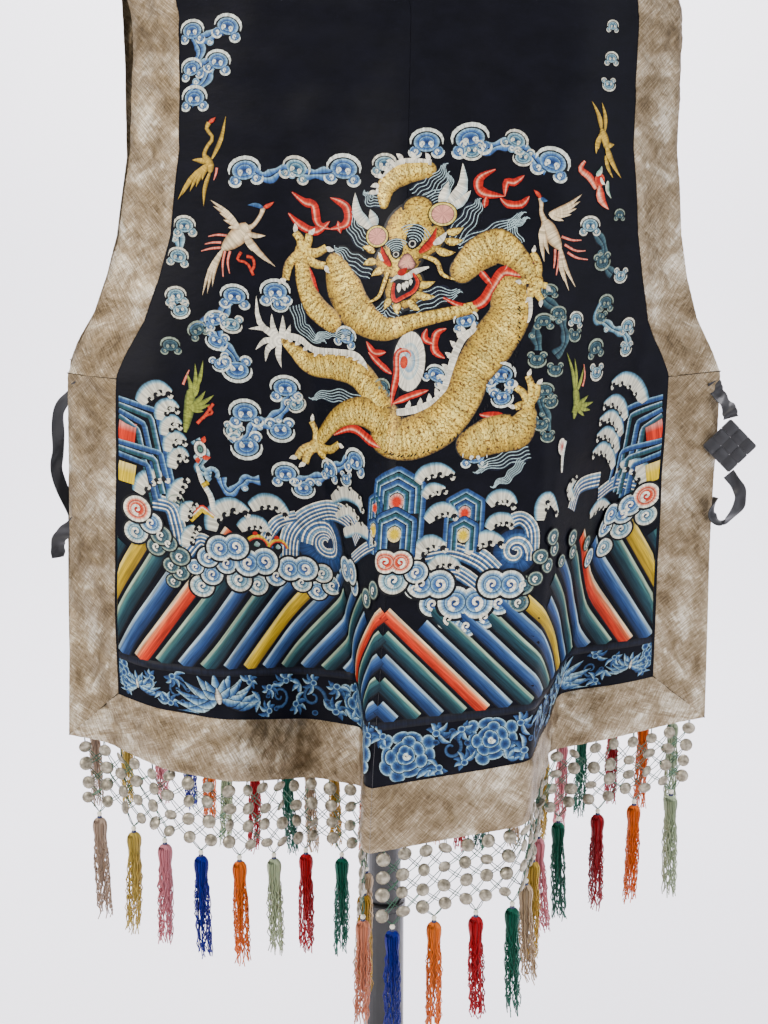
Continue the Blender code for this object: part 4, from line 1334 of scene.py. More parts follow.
class View:
    """Where a place of the picture lies on the cut, so that a motif is laid out as it is seen."""

    WIDTH = 768
    HEIGHT = 1024
    FOCAL = Studio.LENS / Studio.SENSOR * 1024

    def __init__(self, cloth: Cloth) -> None:
        across, below = np.meshgrid(np.arange(-0.530, 0.530, 0.001), np.arange(0.10, 1.21, 0.001))
        offset = cloth.at(across, below, CUT.cloth) - np.array(Studio.POSITION)
        pitch = math.radians(Studio.PITCH_DOWN)
        depth = offset[..., 1] * math.cos(pitch) - offset[..., 2] * math.sin(pitch)
        up = offset[..., 1] * math.sin(pitch) + offset[..., 2] * math.cos(pitch)
        column = (self.WIDTH / 2 + self.FOCAL * offset[..., 0] / depth).ravel()
        row = (self.HEIGHT / 2 - self.FOCAL * up / depth).ravel()
        columns = np.concatenate([np.floor(column) + dx for dx in (0, 1, 0, 1)]).astype(int)
        rows = np.concatenate([np.floor(row) + dy for dy in (0, 0, 1, 1)]).astype(int)
        places = np.tile(np.stack([across.ravel(), below.ravel()], -1), (4, 1))
        seen = (columns >= 0) & (columns < self.WIDTH) & (rows >= 0) & (rows < self.HEIGHT)
        order = np.argsort(-np.tile(depth.ravel(), 4)[seen], kind="stable")
        self.table = np.full((self.HEIGHT, self.WIDTH, 2), np.nan)
        self.table[rows[seen][order], columns[seen][order]] = places[seen][order]

    def cut(self, places: Points | list) -> Points:
        """Places on the cut for places of the picture, in pixels from its upper left corner."""
        places = np.asarray(places, float)
        column = np.clip(np.rint(places[..., 0]), 0, self.WIDTH - 1).astype(int)
        row = np.clip(np.rint(places[..., 1]), 0, self.HEIGHT - 1).astype(int)
        found = self.table[row, column]
        if np.isnan(found).any():
            raise ValueError(f"no cloth shows at {places[np.isnan(found).any(-1)].tolist()}")
        return found


# One picture pixel on the cloth, in metres
PX = 0.00117


def shades(stops: Stops, places: Points) -> Points:
    """Colours between stops."""
    at = [stop[0] for stop in stops]
    return np.stack([np.interp(places, at, [stop[1][k] for stop in stops]) for k in range(3)], -1)


def mirrored(stops: Stops) -> Stops:
    """The same colours from the other edge."""
    return tuple((-place, colour) for place, colour in stops[::-1])


def turned_by(points: Points, degrees: float) -> Points:
    """Turns points of the cut clockwise as seen."""
    c, s = math.cos(math.radians(degrees)), math.sin(math.radians(degrees))
    return np.stack([points[..., 0] * c - points[..., 1] * s, points[..., 0] * s + points[..., 1] * c], -1)


@dataclass
class Needle:
    """Lays embroidered shapes on the cloth; places are on the cut, sizes in metres."""

    cloth: Cloth
    batch: Batch

    # how far stitches stay inside the side and hem borders
    CLEAR_SIDE = 0.004
    CLEAR_HEM = 0.003

    def lay(self, places: Points, colours: Points, lift: Points, stitches: Points) -> None:
        """Puts a grid of places on the cloth, its face out, kept inside the borders."""
        over, down = np.gradient(places, axis=1), np.gradient(places, axis=0)
        if np.sum(over[..., 0] * down[..., 1] - over[..., 1] * down[..., 0]) < 0:
            places, colours, lift, stitches = (grid[:, ::-1] for grid in (places, colours, lift, stitches))
        reach = CUT.half_width(places[..., 1]) - CUT.border - self.CLEAR_SIDE
        across = np.clip(places[..., 0], -reach, reach)
        below = np.minimum(places[..., 1], CUT.field_below(across) - self.CLEAR_HEM)
        self.batch.add(self.cloth.at(across, below, CUT.cloth + lift), colours, stitches)

    def band(
        self,
        path: Points | list,
        half: float | Points,
        stops: Stops,
        lift: float = 0.0004,
        crown: float = 0.0004,
        count: int = 0,
        lengthwise: bool = False,
        straight: bool = False,
    ) -> None:
        """A band of stitches along a path.

        Args:
            path: places on the cut.
            half: half the width, one figure or some along the path.
            stops: colours from -1 at one edge to 1 at the other.
            lift: how high its edges lie over the satin.
            crown: how much higher its middle is.
            count: rows along the path, or 0 for one about every 3 mm.
            lengthwise: whether the threads run along the band.
            straight: whether the path keeps its corners.
        """
        path = np.asarray(path, float)
        count = count or int(np.clip(steps_of(path).sum() / 0.003, 4, 90))
        if straight:
            t = np.linspace(0, len(path) - 1, count * 2)
            line = np.stack([np.interp(t, np.arange(len(path)), path[:, k]) for k in range(2)], -1)
        else:
            line = smooth_path(path, count)
        share = np.linspace(0.0, 1.0, len(line))
        if np.ndim(half):
            half = np.interp(share, np.linspace(0.0, 1.0, len(half)), half)
        wide = np.broadcast_to(np.asarray(half, float), (len(line),))
        _, side = headings(line)
        t = np.unique([stop[0] for stop in stops] + ([-1.0, -0.5, 0.0, 0.5, 1.0] if len(stops) < 6 else []))
        places = line[:, None] + side[:, None] * (wide[:, None] * t[None])[..., None]
        colours = np.broadcast_to(shades(stops, t)[None], (len(line), len(t), 3))
        height = lift + crown * np.sqrt(np.clip(1.0 - t**2, 0.0, 1.0))[None] + 0.0 * wide[:, None]
        seat = line[0] * 7.0
        along = run_along(line)[:, None] + seat[0]
        stitches = np.stack(np.broadcast_arrays(along, wide[:, None] * t[None] + seat[1]), -1)
        self.lay(places, colours, height, stitches[..., ::-1] if lengthwise else stitches)

    def disc(
        self,
        centre: Points,
        radii: Pair,
        stops: Stops,
        lift: float = 0.0004,
        crown: float = 0.0004,
        lobes: int = 0,
        deep: float = 0.0,
        turn: float = 0.0,
    ) -> None:
        """A filled round or lobed shape.

        Args:
            centre: its place on the cut.
            radii: half its width and half its height.
            stops: colours from 0 in the middle to 1 at the rim; beyond 1 for an outline.
            lift: how high its rim lies over the satin.
            crown: how much higher its middle is.
            lobes: how many lobes its rim has, if any.
            deep: the lobes' depth as a share of the radius.
            turn: degrees clockwise.
        """
        step = 15.0 if max(radii) > 0.010 else 22.5
        angles = np.radians(np.linspace(0.0, 360.0, int(360.0 / step) + 1 + 6 * lobes))
        t = np.unique(np.concatenate([[stop[0] for stop in stops], [0.0, 0.5, 1.0]]))
        swell = 1.0 + deep * np.cos(lobes * angles) if lobes else np.ones_like(angles)
        ring = on_circle(angles) * radii * swell[:, None]
        places = np.asarray(centre, float) + turned_by(ring[None] * t[:, None, None], turn)
        colours = np.broadcast_to(shades(stops, t)[:, None], (len(t), len(angles), 3))
        height = np.broadcast_to((lift + crown * np.sqrt(np.clip(1 - t**2, 0, 1)))[:, None], places.shape[:2])
        around = angles[None] * max(radii) + 0.0 * t[:, None]
        stitches = np.stack([around + centre[0] * 7.0, t[:, None] * max(radii) + 0.0 * around], -1)
        self.lay(places, colours, height, stitches)

    def curl(
        self,
        centre: Points,
        reach: Pair,
        turns: float,
        half: Pair,
        stops: Stops,
        start: float = 0.0,
        lift: float = 0.0008,
    ) -> None:
        """A spiral band from its outer end to its middle; negative turns go the other way round."""
        t = np.linspace(0.0, 1.0, max(8, int(abs(turns) * (24 if reach[0] > 0.015 else 12))))
        angle = math.radians(start) + 2 * math.pi * turns * t
        radius = reach[0] + (reach[1] - reach[0]) * t**0.8
        path = np.asarray(centre) + radius[:, None] * on_circle(angle)
        self.band(path, np.linspace(half[0], half[1], 6), stops, lift, 0.0003, len(t))

    def leaf(
        self, base: Points, tip: Points, half: float, stops: Stops, bend: float = 0.0, lift: float = 0.0005
    ) -> None:
        """A pointed leaf, petal or feather from base to tip, bent sideways by a share of its length."""
        base, tip = np.asarray(base, float), np.asarray(tip, float)
        step = tip - base
        middle = (base + tip) / 2 + np.array([-step[1], step[0]]) * bend
        widths = half * np.array([0.35, 0.75, 1.0, 0.95, 0.7, 0.35, 0.02])
        self.band([base, middle, tip], widths, stops, lift, 0.0004, 7)


def edged(edge: Colour, *inner: Colour) -> Stops:
    """Stops for a band with the same edge both sides and the inner colours across."""
    places = np.linspace(-0.60, 0.60, len(inner))
    return ((-1.0, edge), (-0.72, edge), *zip(places.tolist(), inner), (0.72, edge), (1.0, edge))


def evenly(*colours: Colour) -> Stops:
    """Stops evenly from one edge to the other."""
    return tuple(zip(np.linspace(-1.0, 1.0, len(colours)).tolist(), colours))


def at(places: tuple[float, ...], *colours: Colour) -> Stops:
    """Stops with these colours at these places."""
    return tuple(zip(places, colours, strict=True))


def plain(colour: Colour) -> Stops:
    """Stops of one colour for a band."""
    return evenly(colour, colour)


def rings(*colours: Colour, outline: bool = True) -> Stops:
    """Stops evenly from the middle to the rim, with a dark outline round it."""
    stops = tuple(zip(np.linspace(0.0, 1.0, len(colours)).tolist(), colours))
    return stops + ((1.03, DYE.black), (1.14, DYE.black)) if outline else stops


def spot(colour: Colour) -> Stops:
    """Stops of one colour for a round without an outline."""
    return rings(colour, colour, outline=False)


@dataclass(frozen=True)
class Palette:
    """The colours of a cloud or a wave, from its rim inwards."""

    rim: Colour
    pale: Colour
    middle: Colour
    deep: Colour
    core: Colour

    def round(self) -> Stops:
        """Rings for a cloud's lobe, which gets its pale cap on top."""
        places = (0.0, 0.30, 0.52, 0.57, 0.60, 0.65, 0.82, 1.0, 1.03, 1.16)
        heart = (self.core, self.deep, self.middle, self.pale, DYE.ink)
        return at(places, *heart, self.deep, self.middle, self.pale, DYE.black, DYE.black)

    def foam(self) -> Stops:
        """Rings for a round of foam, pale all round its rim."""
        places = (0.0, 0.28, 0.46, 0.58, 0.62, 0.67, 0.80, 0.87, 1.0, 1.03, 1.20)
        heart = (self.core, self.deep, self.middle, self.pale, DYE.ink)
        return at(places, *heart, self.middle, self.pale, self.rim, self.rim, DYE.black, DYE.black)

    def body(self) -> Stops:
        """Bands for a wavy body, with a dark line along its middle."""
        places = (-1.0, -0.86, -0.80, -0.40, -0.08, -0.04, 0.08, 0.12, 0.45, 0.80, 0.86, 1.0)
        half = (self.pale, self.middle, self.deep)
        return at(places, DYE.black, DYE.black, *half, DYE.ink, DYE.ink, *half, DYE.black, DYE.black)


BLUE_CLOUD = Palette(linear("#dde3d4"), linear("#8fb4c4"), linear("#4f7aa6"), linear("#2c4e86"), DYE.navy)
TEAL_CLOUD = Palette(DYE.ivory, DYE.mist, linear("#6f9aa8"), linear("#2f5a72"), DYE.navy)
DARK_CLOUD = Palette(linear("#8d9a86"), linear("#4d6a6c"), linear("#34525c"), linear("#1b3744"), DYE.ink)
RED_CLOUD = Palette(DYE.cream, DYE.blush, DYE.coral, DYE.red, DYE.red)


@dataclass
class Clouds:
    """Ruyi-headed clouds and the scalloped foam over the sea."""

    silk: Needle
    view: View

    FOAM_GROWTH = 1.22
    HEAD_GROWTH = 1.22
    # the wavy body's wave: its length over 2 pi, and how far it goes to each side
    WAVE_LENGTH = 0.0070
    WAVE_HEIGHT = 0.0022

    def head(self, place: Pair, size: float, palette: Palette, turn: float) -> None:
        """A cloud head with two curled lobes under a wide one; size is its width in picture pixels."""
        centre = self.view.cut(place)
        unit = self.HEAD_GROWTH * size * PX
        white = evenly(palette.rim, palette.rim, palette.rim)

        def seat(x: float, y: float) -> Points:
            """A place in the head, in shares of its width."""
            return centre + turned_by(np.array([x, y]) * unit, turn)

        def cap(
            x: float, y: float, wide: float, high: float, start: float, end: float, half: float, lift: float
        ) -> None:
            """A pale cap round part of a lobe, from one angle to another, clockwise from the right."""
            angles = np.radians(np.linspace(start, end, 10))
            ring = on_circle(angles) * (wide, high) * unit
            widths = half * unit * np.array([0.25, 0.9, 1.0, 1.0, 1.0, 0.9, 0.25])
            self.silk.band(seat(x, y) + turned_by(ring, turn), widths, white, lift, 0.0004, 10)

        def curl(
            x: float, y: float, reach: tuple, turns: float, half: tuple, start: float, lift: float
        ) -> None:
            """A pale curl in a lobe."""
            reach, half = ((first * unit, last * unit) for first, last in (reach, half))
            self.silk.curl(seat(x, y), reach, turns, half, white, start, lift)

        for hand in (-1, 1):
            lobe = (0.30 * hand, 0.24)
            self.silk.disc(seat(*lobe), (0.155 * unit, 0.140 * unit), palette.round(), 0.0003)
            first, last = (15.0, 190.0) if hand < 0 else (165.0, -10.0)
            cap(*lobe, 0.175, 0.160, first, last, 0.034, 0.0007)
            curl(*lobe, (0.075, 0.01), 0.9 * hand, (0.030, 0.022), 90.0, 0.0009)
        self.silk.disc(seat(0.0, 0.0), (0.34 * unit, 0.245 * unit), palette.round(), 0.0005, turn=turn)
        cap(0.0, 0.0, 0.44, 0.335, 170.0, 370.0, 0.048, 0.0010)
        for hand in (-1, 1):
            curl(0.105 * hand, 0.045, (0.078, 0.012), -1.0 * hand, (0.034, 0.030), 90.0 + turn, 0.0014)

    def body(self, path: Route, size: float, palette: Palette) -> None:
        """A wavy body between heads, with a curl half way; size is its width in picture pixels."""
        places = smooth_path(self.view.cut(path), 8 * len(path))
        _, side = headings(places)
        along = run_along(places)
        wave = np.sin(along / self.WAVE_LENGTH) * self.WAVE_HEIGHT
        widths = size / 2 * PX * (1.45 + 0.40 * np.cos(2 * along / self.WAVE_LENGTH))
        self.silk.band(places + side * wave[:, None], widths, palette.body(), 0.0002, 0.0004, len(places))
        middle = places[len(places) // 2] + side[len(places) // 2] * size * 0.55 * PX
        reach = size * 0.34 * PX
        stops = rings(palette.deep, palette.middle, palette.pale)
        self.silk.disc(middle, (reach * 1.5, reach * 1.4), stops, 0.0004)
        white = plain(palette.rim)
        self.silk.curl(middle, (reach, reach * 0.15), 1.1, (reach * 0.30, reach * 0.24), white, 0.0, 0.0009)

    def scallop(
        self, place: Pair, size: float, palette: Palette, lift: float, double: bool = False
    ) -> None:
        """A round of foam with a white curl, or a double one with two, over the ones laid lower."""
        centre = self.view.cut(place)
        unit = size * self.FOAM_GROWTH * PX
        offsets = (-0.24, 0.24) if double else (0.0,)
        for x in offsets:
            seat = centre + np.array([x * unit, 0.0])
            self.silk.disc(seat, (0.38 * unit, 0.35 * unit), palette.foam(), lift, 0.0001)
        reach, half = (0.17 * unit, 0.02 * unit), (0.045 * unit, 0.03 * unit)
        for x, turns in zip(offsets, (1.1, -1.1)):
            seat = centre + np.array([x * unit, 0.0])
            self.silk.curl(seat, reach, turns, half, plain(DYE.cream), 90.0, lift + 0.0003)


@dataclass
class Sea:
    """Waves with hooked crests, rocks in nested bands, and the deep water's slanting stripes."""

    silk: Needle
    view: View

    def crest(self, path: Route, size: float, hand: int) -> None:
        """A breaking crest, blue outside and cream inside, with hooks along its inner edge.

        Args:
            path: places of the picture along its middle.
            size: its greatest width in pixels.
            hand: 1 if its inner edge is on the right of the path as it goes, else -1.
        """
        palette = TEAL_CLOUD
        line = smooth_path(self.view.cut(path), 18)
        colours = (palette.deep, palette.middle, palette.pale, palette.rim, palette.rim)
        stops = at((-1.0, -0.72, -0.52, -0.38, 1.0), *colours)
        half = size * 0.72 * PX
        widths = half * np.array([0.70, 1.0, 1.08, 1.05, 0.92, 0.66, 0.34])
        self.silk.band(line, widths + 0.0011, plain(DYE.black), 0.0005, 0.0002)
        self.silk.band(line, widths, stops if hand > 0 else mirrored(stops), 0.0008)
        forward, side = headings(line)
        side = side * hand
        wide = np.interp(np.arange(18) / 17, np.linspace(0, 1, 7), widths)
        for k in range(4, 17, 4):
            bite = line[k] + side[k] * wide[k]
            self.silk.disc(bite, (half * 0.44, half * 0.44), spot(DYE.black), 0.0015, 0.0001)
            root = line[k] + side[k] * wide[k] * 0.62 + forward[k] * half * 0.46
            knee = root + side[k] * half * 0.52 + forward[k] * half * 0.02
            tip = knee - forward[k] * half * 0.44 - side[k] * half * 0.06
            hook = np.array([0.22, 0.17, 0.09]) * half
            self.silk.band([root, knee, tip], hook, plain(palette.rim), 0.0018, 0.0002, 6)

    def swell(self, path: Route, size: float, lines: int = 5) -> None:
        """A rolling wave of fine cream and blue lines."""
        self.silk.band(self.view.cut(path), size / 2 * PX, self.lines(lines), 0.0005, 0.0006, 26)

    def spiral(self, place: Pair, size: float, turns: float, start: float) -> None:
        """A curling wave seen from the side."""
        centre = self.view.cut(place)
        radius = size / 2 * PX
        self.silk.disc(centre, (radius, radius), rings(DYE.ink, DYE.navy, DYE.blue, DYE.navy), 0.0006, 0.0001)
        lines = self.lines(3 if size > 45 else 2)
        stops = mirrored(lines) if turns > 0 else lines
        reach, half = (radius * 0.74, radius * 0.12), (radius * 0.26, radius * 0.12)
        self.silk.curl(centre, reach, turns, half, stops, start, 0.0009)

    @staticmethod
    def lines(count: int) -> Stops:
        """Fine cream and blue lines side by side, the palest at the first edge."""
        stops = []
        for k in range(count):
            low, high = -1 + 2 * k / count, -1 + 2 * (k + 1) / count
            blue = (DYE.azure, DYE.blue, DYE.navy)[min(k, 2)]
            stops += [(low, DYE.cream), (low + 0.60 / count, DYE.cream), (low + 0.74 / count, DYE.ink)]
            stops += [(low + 0.90 / count, DYE.sky if k == 0 else DYE.azure), (high - 0.02 / count, blue)]
        return tuple(stops)

    def rock(self, apex: Pair, half: float, height: float, layers: int, cores: tuple) -> None:
        """A rock of nested bands like a gable, with coloured cores; sizes in pixels."""
        for k, core in enumerate(cores):
            top = self.view.cut(apex) + np.array([0.0, height * 0.44 * k]) * PX
            low = height * (1.0 - 0.44 * k)
            wide = half * (1.0 - 0.24 * k)
            count = layers - k
            step = wide / (count + 1.1)
            lift = 0.0006 + 0.0006 * k
            if k:
                ground = top + np.array([[0.0, wide * 0.35], [0.0, low]]) * PX
                self.silk.band(ground, wide * PX, plain(DYE.black), lift - 0.0002, 0.0, 6, straight=True)
            for n in range(count):
                out = wide - (n + 0.5) * step
                rise = (n + 0.5) * step * 1.15
                eave = rise + out * 0.55
                outline = np.array([[-out, low], [-out, eave], [0.0, rise], [out, eave], [out, low]])
                self.silk.band(
                    top + outline * PX, step / 2 * PX, self.layer(n), lift, 0.0004, 16, straight=True
                )
            inner = wide - count * step
            place = top + np.array([0.0, count * step * 1.15 + inner * 1.5]) * PX
            stops = rings(core, core, tuple(0.5 * c + 0.5 * w for c, w in zip(core, DYE.cream)))
            self.silk.disc(place, (inner * 1.1 * PX, inner * 1.25 * PX), stops, lift + 0.0002)

    @staticmethod
    def layer(number: int) -> Stops:
        """The colours of a rock's band, its pale edge outwards."""
        pale, deep = (DYE.mist, DYE.teal) if number % 2 else (DYE.sky, DYE.blue)
        places = (-1.0, -0.74, -0.66, 0.0, 0.55, 0.80, 1.0)
        return at(places, DYE.black, DYE.black, deep, deep, DYE.azure, pale, pale)

    def half_rock(self, border: float, upper: Colour, lower: Colour) -> None:
        """A rock cut off by the side border, in two gables that slope down and away from it.

        Args:
            border: where the border's edge stands in the picture.
            upper: colour of the upper gable's core.
            lower: colour of the lower one's.
        """
        away = 1.0 if border < View.WIDTH / 2 else -1.0
        # three corners from the border, bands, core, the core's level, in picture pixels
        gables = (
            ((0.0, 398.0), (38.0, 411.0), (54.0, 486.0), 4, upper, 432.0),
            ((0.0, 441.0), (42.0, 453.0), (50.0, 488.0), 3, lower, 473.0),
        )
        for k, (start, shoulder, foot, count, core, level) in enumerate(gables):
            lift = 0.0006 + 0.0006 * k
            for n in range(count):
                corners = (start, shoulder, foot)
                places = [(border + away * (x - 6.4 * n * (x > 0)), y + 6.0 * n) for x, y in corners]
                stops = mirrored(self.layer(n)) if away > 0 else self.layer(n)
                self.silk.band(self.view.cut(places), 3.1 * PX, stops, lift, 0.0004, 12, straight=True)
            pale = tuple(0.75 * c + 0.25 * w for c, w in zip(core, DYE.cream))
            stops = at((-1.0, -0.6, 0.0, 1.0), pale, pale, core, core)
            line = self.view.cut([(border, level - 4.0), (border + away * 17.0, level + 2.0)])
            if away < 0:
                line = line[::-1]
            self.silk.band(line, 10 * PX, stops, lift + 0.0001, 0.0004, 6)

    def bow(self, place: Pair, size: float) -> None:
        """A half round of yellow and red bands with a red bead on top and a grey heart."""
        centre = self.view.cut(place)
        radius = size / 2 * PX
        angles = np.radians(np.linspace(180.0, 360.0, 16))
        arc = centre + on_circle(angles) * (radius, 0.85 * radius)
        places = (-1.0, 0.0, 0.15, 0.7, 0.8, 1.0)
        stops = at(places, DYE.yellow, DYE.yellow, DYE.coral, DYE.red, DYE.black, DYE.black)
        self.silk.disc(centre, (radius, radius * 0.8), spot(DYE.black), 0.0006)
        self.silk.band(arc, radius * 0.22, stops, 0.0009, 0.0004, 16)
        bead = centre - np.array([0.0, radius * 1.15])
        self.silk.disc(bead, (2.6 * PX, 2.2 * PX), rings(DYE.red, DYE.red), 0.0009)
        heart = centre - np.array([0.0, radius * 0.5])
        self.silk.leaf(centre, heart, radius * 0.28, evenly(DYE.sage, DYE.mist), 0.0, 0.0010)

    def stripes(self) -> None:
        """Slanting stripes of deep water, the same on both halves, that meet at the back seam like a gable.

        Every stripe's foot stands on the line over the flower band. It leans towards the seam as it rises.
        """
        teal = (DYE.black, linear("#0e2029"), linear("#173a44"), linear("#3c6a68"), linear("#a3b697"))
        blue = (DYE.black, linear("#101f3c"), linear("#203e6e"), linear("#446a98"), linear("#a2b7bd"))
        red = (DYE.black, linear("#a02008"), linear("#cf3414"), linear("#e27848"), linear("#e8cfa4"))
        yellow = (DYE.black, linear("#8a6d10"), linear("#b8960f"), linear("#cfae22"), linear("#d9c060"))
        order = (blue, teal, blue, teal, red, blue, teal, blue, teal, blue, yellow)
        order += (blue, teal, blue, teal, red, blue, teal, yellow, teal)
        pitch = 0.0255
        # how far across from the seam, how far a stripe leans for each metre of rise
        slants = np.array([[0.0, 1.10], [0.16, 1.15], [0.30, 1.15], [0.45, 0.85]])
        for hand in Hand:
            for k, colours in enumerate(order):
                foot = 0.014 + pitch * k
                low = self.foot_level(foot)
                slant = float(between(slants, foot))
                rise = min(foot / slant, 0.098 + 0.012 * math.sin(2.2 * k) + (0.030 if foot > 0.34 else 0.0))
                top = np.array([foot - slant * rise, low - rise])
                path = np.array([top, [foot, low], [foot + slant * 0.004, low + 0.004]])
                path[:, 0] *= hand.value
                places = (-1.0, -0.86, -0.78, -0.05, 0.48, 0.76, 0.90, 0.94, 1.0)
                shading = at(places, *(colours[k] for k in (0, 0, 1, 2, 3, 4, 4, 0, 0)))
                stops = shading if hand is Hand.LEFT else mirrored(shading)
                tilt = math.cos(math.atan(slant))
                self.silk.band(
                    path, pitch / 2 * tilt * 1.02, stops, 0.0003, 0.0006, 14, lengthwise=True, straight=True
                )
            feet = np.linspace(0.001, 0.46, 60)
            line = np.array([[foot * hand.value, self.foot_level(foot) + 0.008] for foot in feet])
            self.silk.band(line, 0.0048, evenly(DYE.black, DYE.ink, DYE.black), 0.0004, 0.0012, 60)

    @staticmethod
    def foot_level(across_from_seam: float) -> float:
        """The level of the stripes' feet: over the hem border by the flower band's height."""
        band = 0.076 - 0.026 * across_from_seam / CUT.half_hem
        return float(CUT.field_below(across_from_seam)) - band


@dataclass
class Flowers:
    """Lotuses, peonies, leaves and scrolls of the band over the hem."""

    silk: Needle

    PETAL = at(
        (-1.0, -0.82, -0.74, -0.30, 0.20, 0.72, 0.82, 1.0),
        *(DYE.black, DYE.black, DYE.mist, DYE.sky, DYE.azure, DYE.blue, DYE.black, DYE.black),
    )
    SHADED = at(
        (-1.0, -0.80, -0.70, 0.1, 0.75, 0.85, 1.0),
        *(DYE.black, DYE.black, DYE.azure, DYE.blue, DYE.navy, DYE.black, DYE.black),
    )
    ROUND = at(
        (0.0, 0.45, 0.72, 0.90, 1.0, 1.04, 1.16),
        *(DYE.navy, DYE.blue, DYE.azure, DYE.sky, DYE.mist, DYE.black, DYE.black),
    )
    DARK_ROUND = at(
        (0.0, 0.5, 0.85, 1.0, 1.04, 1.16), DYE.ink, DYE.navy, DYE.blue, DYE.azure, DYE.black, DYE.black
    )
    DIM = evenly(DYE.ink, linear("#35587e"), linear("#27466c"), DYE.navy)

    def place(self, foot: float, share: float, hand: Hand) -> Points:
        """A place in the band: how far from the seam, and what share of the way down it."""
        low = float(CUT.field_below(foot)) - 0.004
        high = Sea.foot_level(foot) + 0.012
        return np.array([foot * hand.value, high + (low - high) * share])

    def lotus(self, centre: Points, size: float) -> None:
        """A lotus: a fan of long petals that droop at the sides, round a pale heart."""
        for ring, (count, reach, half) in enumerate(((11, 1.0, 0.115), (8, 0.76, 0.11), (4, 0.50, 0.10))):
            for k in range(count):
                angle = math.radians(-196.0 + 212.0 * k / (count - 1))
                step = np.array([math.cos(angle), math.sin(angle) * 0.62 + 0.05]) * size * reach
                bend, lift = 0.14 * math.cos(angle), 0.0004 + 0.0003 * ring
                self.silk.leaf(centre + step * 0.12, centre + step, half * size, self.PETAL, bend, lift)
        foot, tip = centre + [0.0, 0.10 * size], centre - [0.0, 0.26 * size]
        self.silk.leaf(foot, tip, 0.08 * size, evenly(DYE.ink, DYE.cream, DYE.ink), 0.0, 0.0015)

    def peony(self, centre: Points, size: float) -> None:
        """A peony: three rings of rounded petals with pale rims, round a curl."""
        for ring, (count, reach, wide) in enumerate(((10, 0.72, 0.27), (7, 0.44, 0.25), (4, 0.18, 0.20))):
            for k in range(count):
                angle = 2 * math.pi * (k + 0.37 * ring) / count
                grown = 1.0 + 0.16 * math.sin(2.3 * k + 1.9 * ring)
                seat = centre + np.array([math.cos(angle), math.sin(angle) * 0.86]) * size * reach * grown
                radii = (wide * 0.66 * size * grown, wide * size * (2.0 - grown))
                lift = 0.0004 + 0.0003 * ring
                self.silk.disc(seat, radii, self.ROUND, lift, 0.0003, turn=math.degrees(angle))
        reach, half = (0.13 * size, 0.02 * size), (0.05 * size, 0.03 * size)
        self.silk.curl(centre, reach, 1.2, half, evenly(DYE.mist, DYE.cream), 0.0, 0.0016)

    def leafage(self, centre: Points, size: float, turn: float) -> None:
        """A spray of three leaves."""
        for angle in (-55.0, 0.0, 55.0):
            step = turned_by(np.array([size, 0.0]), turn + angle)
            self.silk.leaf(centre, centre + step, 0.27 * size, self.PETAL, 0.10)

    def frond(self, centre: Points, size: float, turn: float, hand: int) -> None:
        """A lobed leaf that curls round, its lobes longer towards its tip, with a bud in its bend."""
        for k in range(6):
            away = on_circle(math.radians(turn + 38.0 * k * hand)) * size
            petal = self.PETAL if k % 2 else self.SHADED
            root, tip = centre + away * 0.18, centre + away * (0.72 + 0.09 * k)
            self.silk.leaf(root, tip, 0.21 * size, petal, 0.18 * hand, 0.0004 + 0.00006 * k)
        self.silk.disc(centre, (0.26 * size, 0.22 * size), self.ROUND, 0.0010, 0.0002)

    def scroll(self, centre: Points, size: float, turn: float, hand: int) -> None:
        """A tendril that curls in, with a few buds."""
        self.silk.curl(
            centre, (size, size * 0.15), 1.3 * hand, (0.15 * size, 0.08 * size), self.DIM, turn, 0.0004
        )
        for k in range(3):
            seat = centre + on_circle(math.radians(turn + 70.0 * k)) * size * 1.12
            self.silk.disc(seat, (0.22 * size, 0.18 * size), self.DARK_ROUND, 0.0006)

    def build(self) -> None:
        """The whole band on both halves."""
        # how far from the seam, share of the way down the band, size, all but shares in metres
        peonies = ((0.036, 0.55, 0.036), (0.130, 0.48, 0.033), (0.440, 0.35, 0.020))
        lotuses = ((0.318, 0.60, 0.052), (0.412, 0.62, 0.030))
        # the same, and a turn in degrees
        fronds = (
            (0.008, 0.12, 0.015, 30.0), (0.068, 0.20, 0.017, 200.0), (0.074, 0.88, 0.015, 20.0),
            (0.096, 0.18, 0.016, -60.0), (0.102, 0.86, 0.015, 120.0), (0.162, 0.22, 0.016, 220.0),
            (0.168, 0.82, 0.017, 60.0), (0.190, 0.20, 0.015, -40.0), (0.218, 0.72, 0.016, 150.0),
            (0.226, 0.16, 0.015, 10.0), (0.250, 0.30, 0.014, 200.0), (0.256, 0.88, 0.015, -30.0),
            (0.276, 0.16, 0.014, 60.0), (0.366, 0.14, 0.014, 180.0), (0.374, 0.88, 0.013, 30.0),
            (0.390, 0.26, 0.012, -60.0), (0.432, 0.86, 0.012, 90.0),
        )
        scrolls = (
            (0.086, 0.54, 0.017, 200.0), (0.194, 0.54, 0.017, 20.0), (0.238, 0.52, 0.014, 120.0),
            (0.364, 0.50, 0.012, 0.0),
        )
        sprays = (
            (0.062, 0.90, 0.016, 90.0), (0.150, 0.92, 0.014, -60.0), (0.208, 0.24, 0.014, 150.0),
            (0.266, 0.62, 0.015, 180.0), (0.382, 0.62, 0.012, 90.0),
        )
        for hand in Hand:
            for foot, share, size, turn in scrolls:
                self.scroll(self.place(foot, share, hand), size, turn, hand.value)
            for foot, share, size, turn in fronds:
                self.frond(self.place(foot, share, hand), size, turn, hand.value)
            for foot, share, size, turn in sprays:
                self.leafage(self.place(foot, share, hand), size, turn)
            for foot, share, size in peonies:
                self.peony(self.place(foot, share, hand), size)
            for foot, share, size in lotuses:
                self.lotus(self.place(foot, share, hand), size)


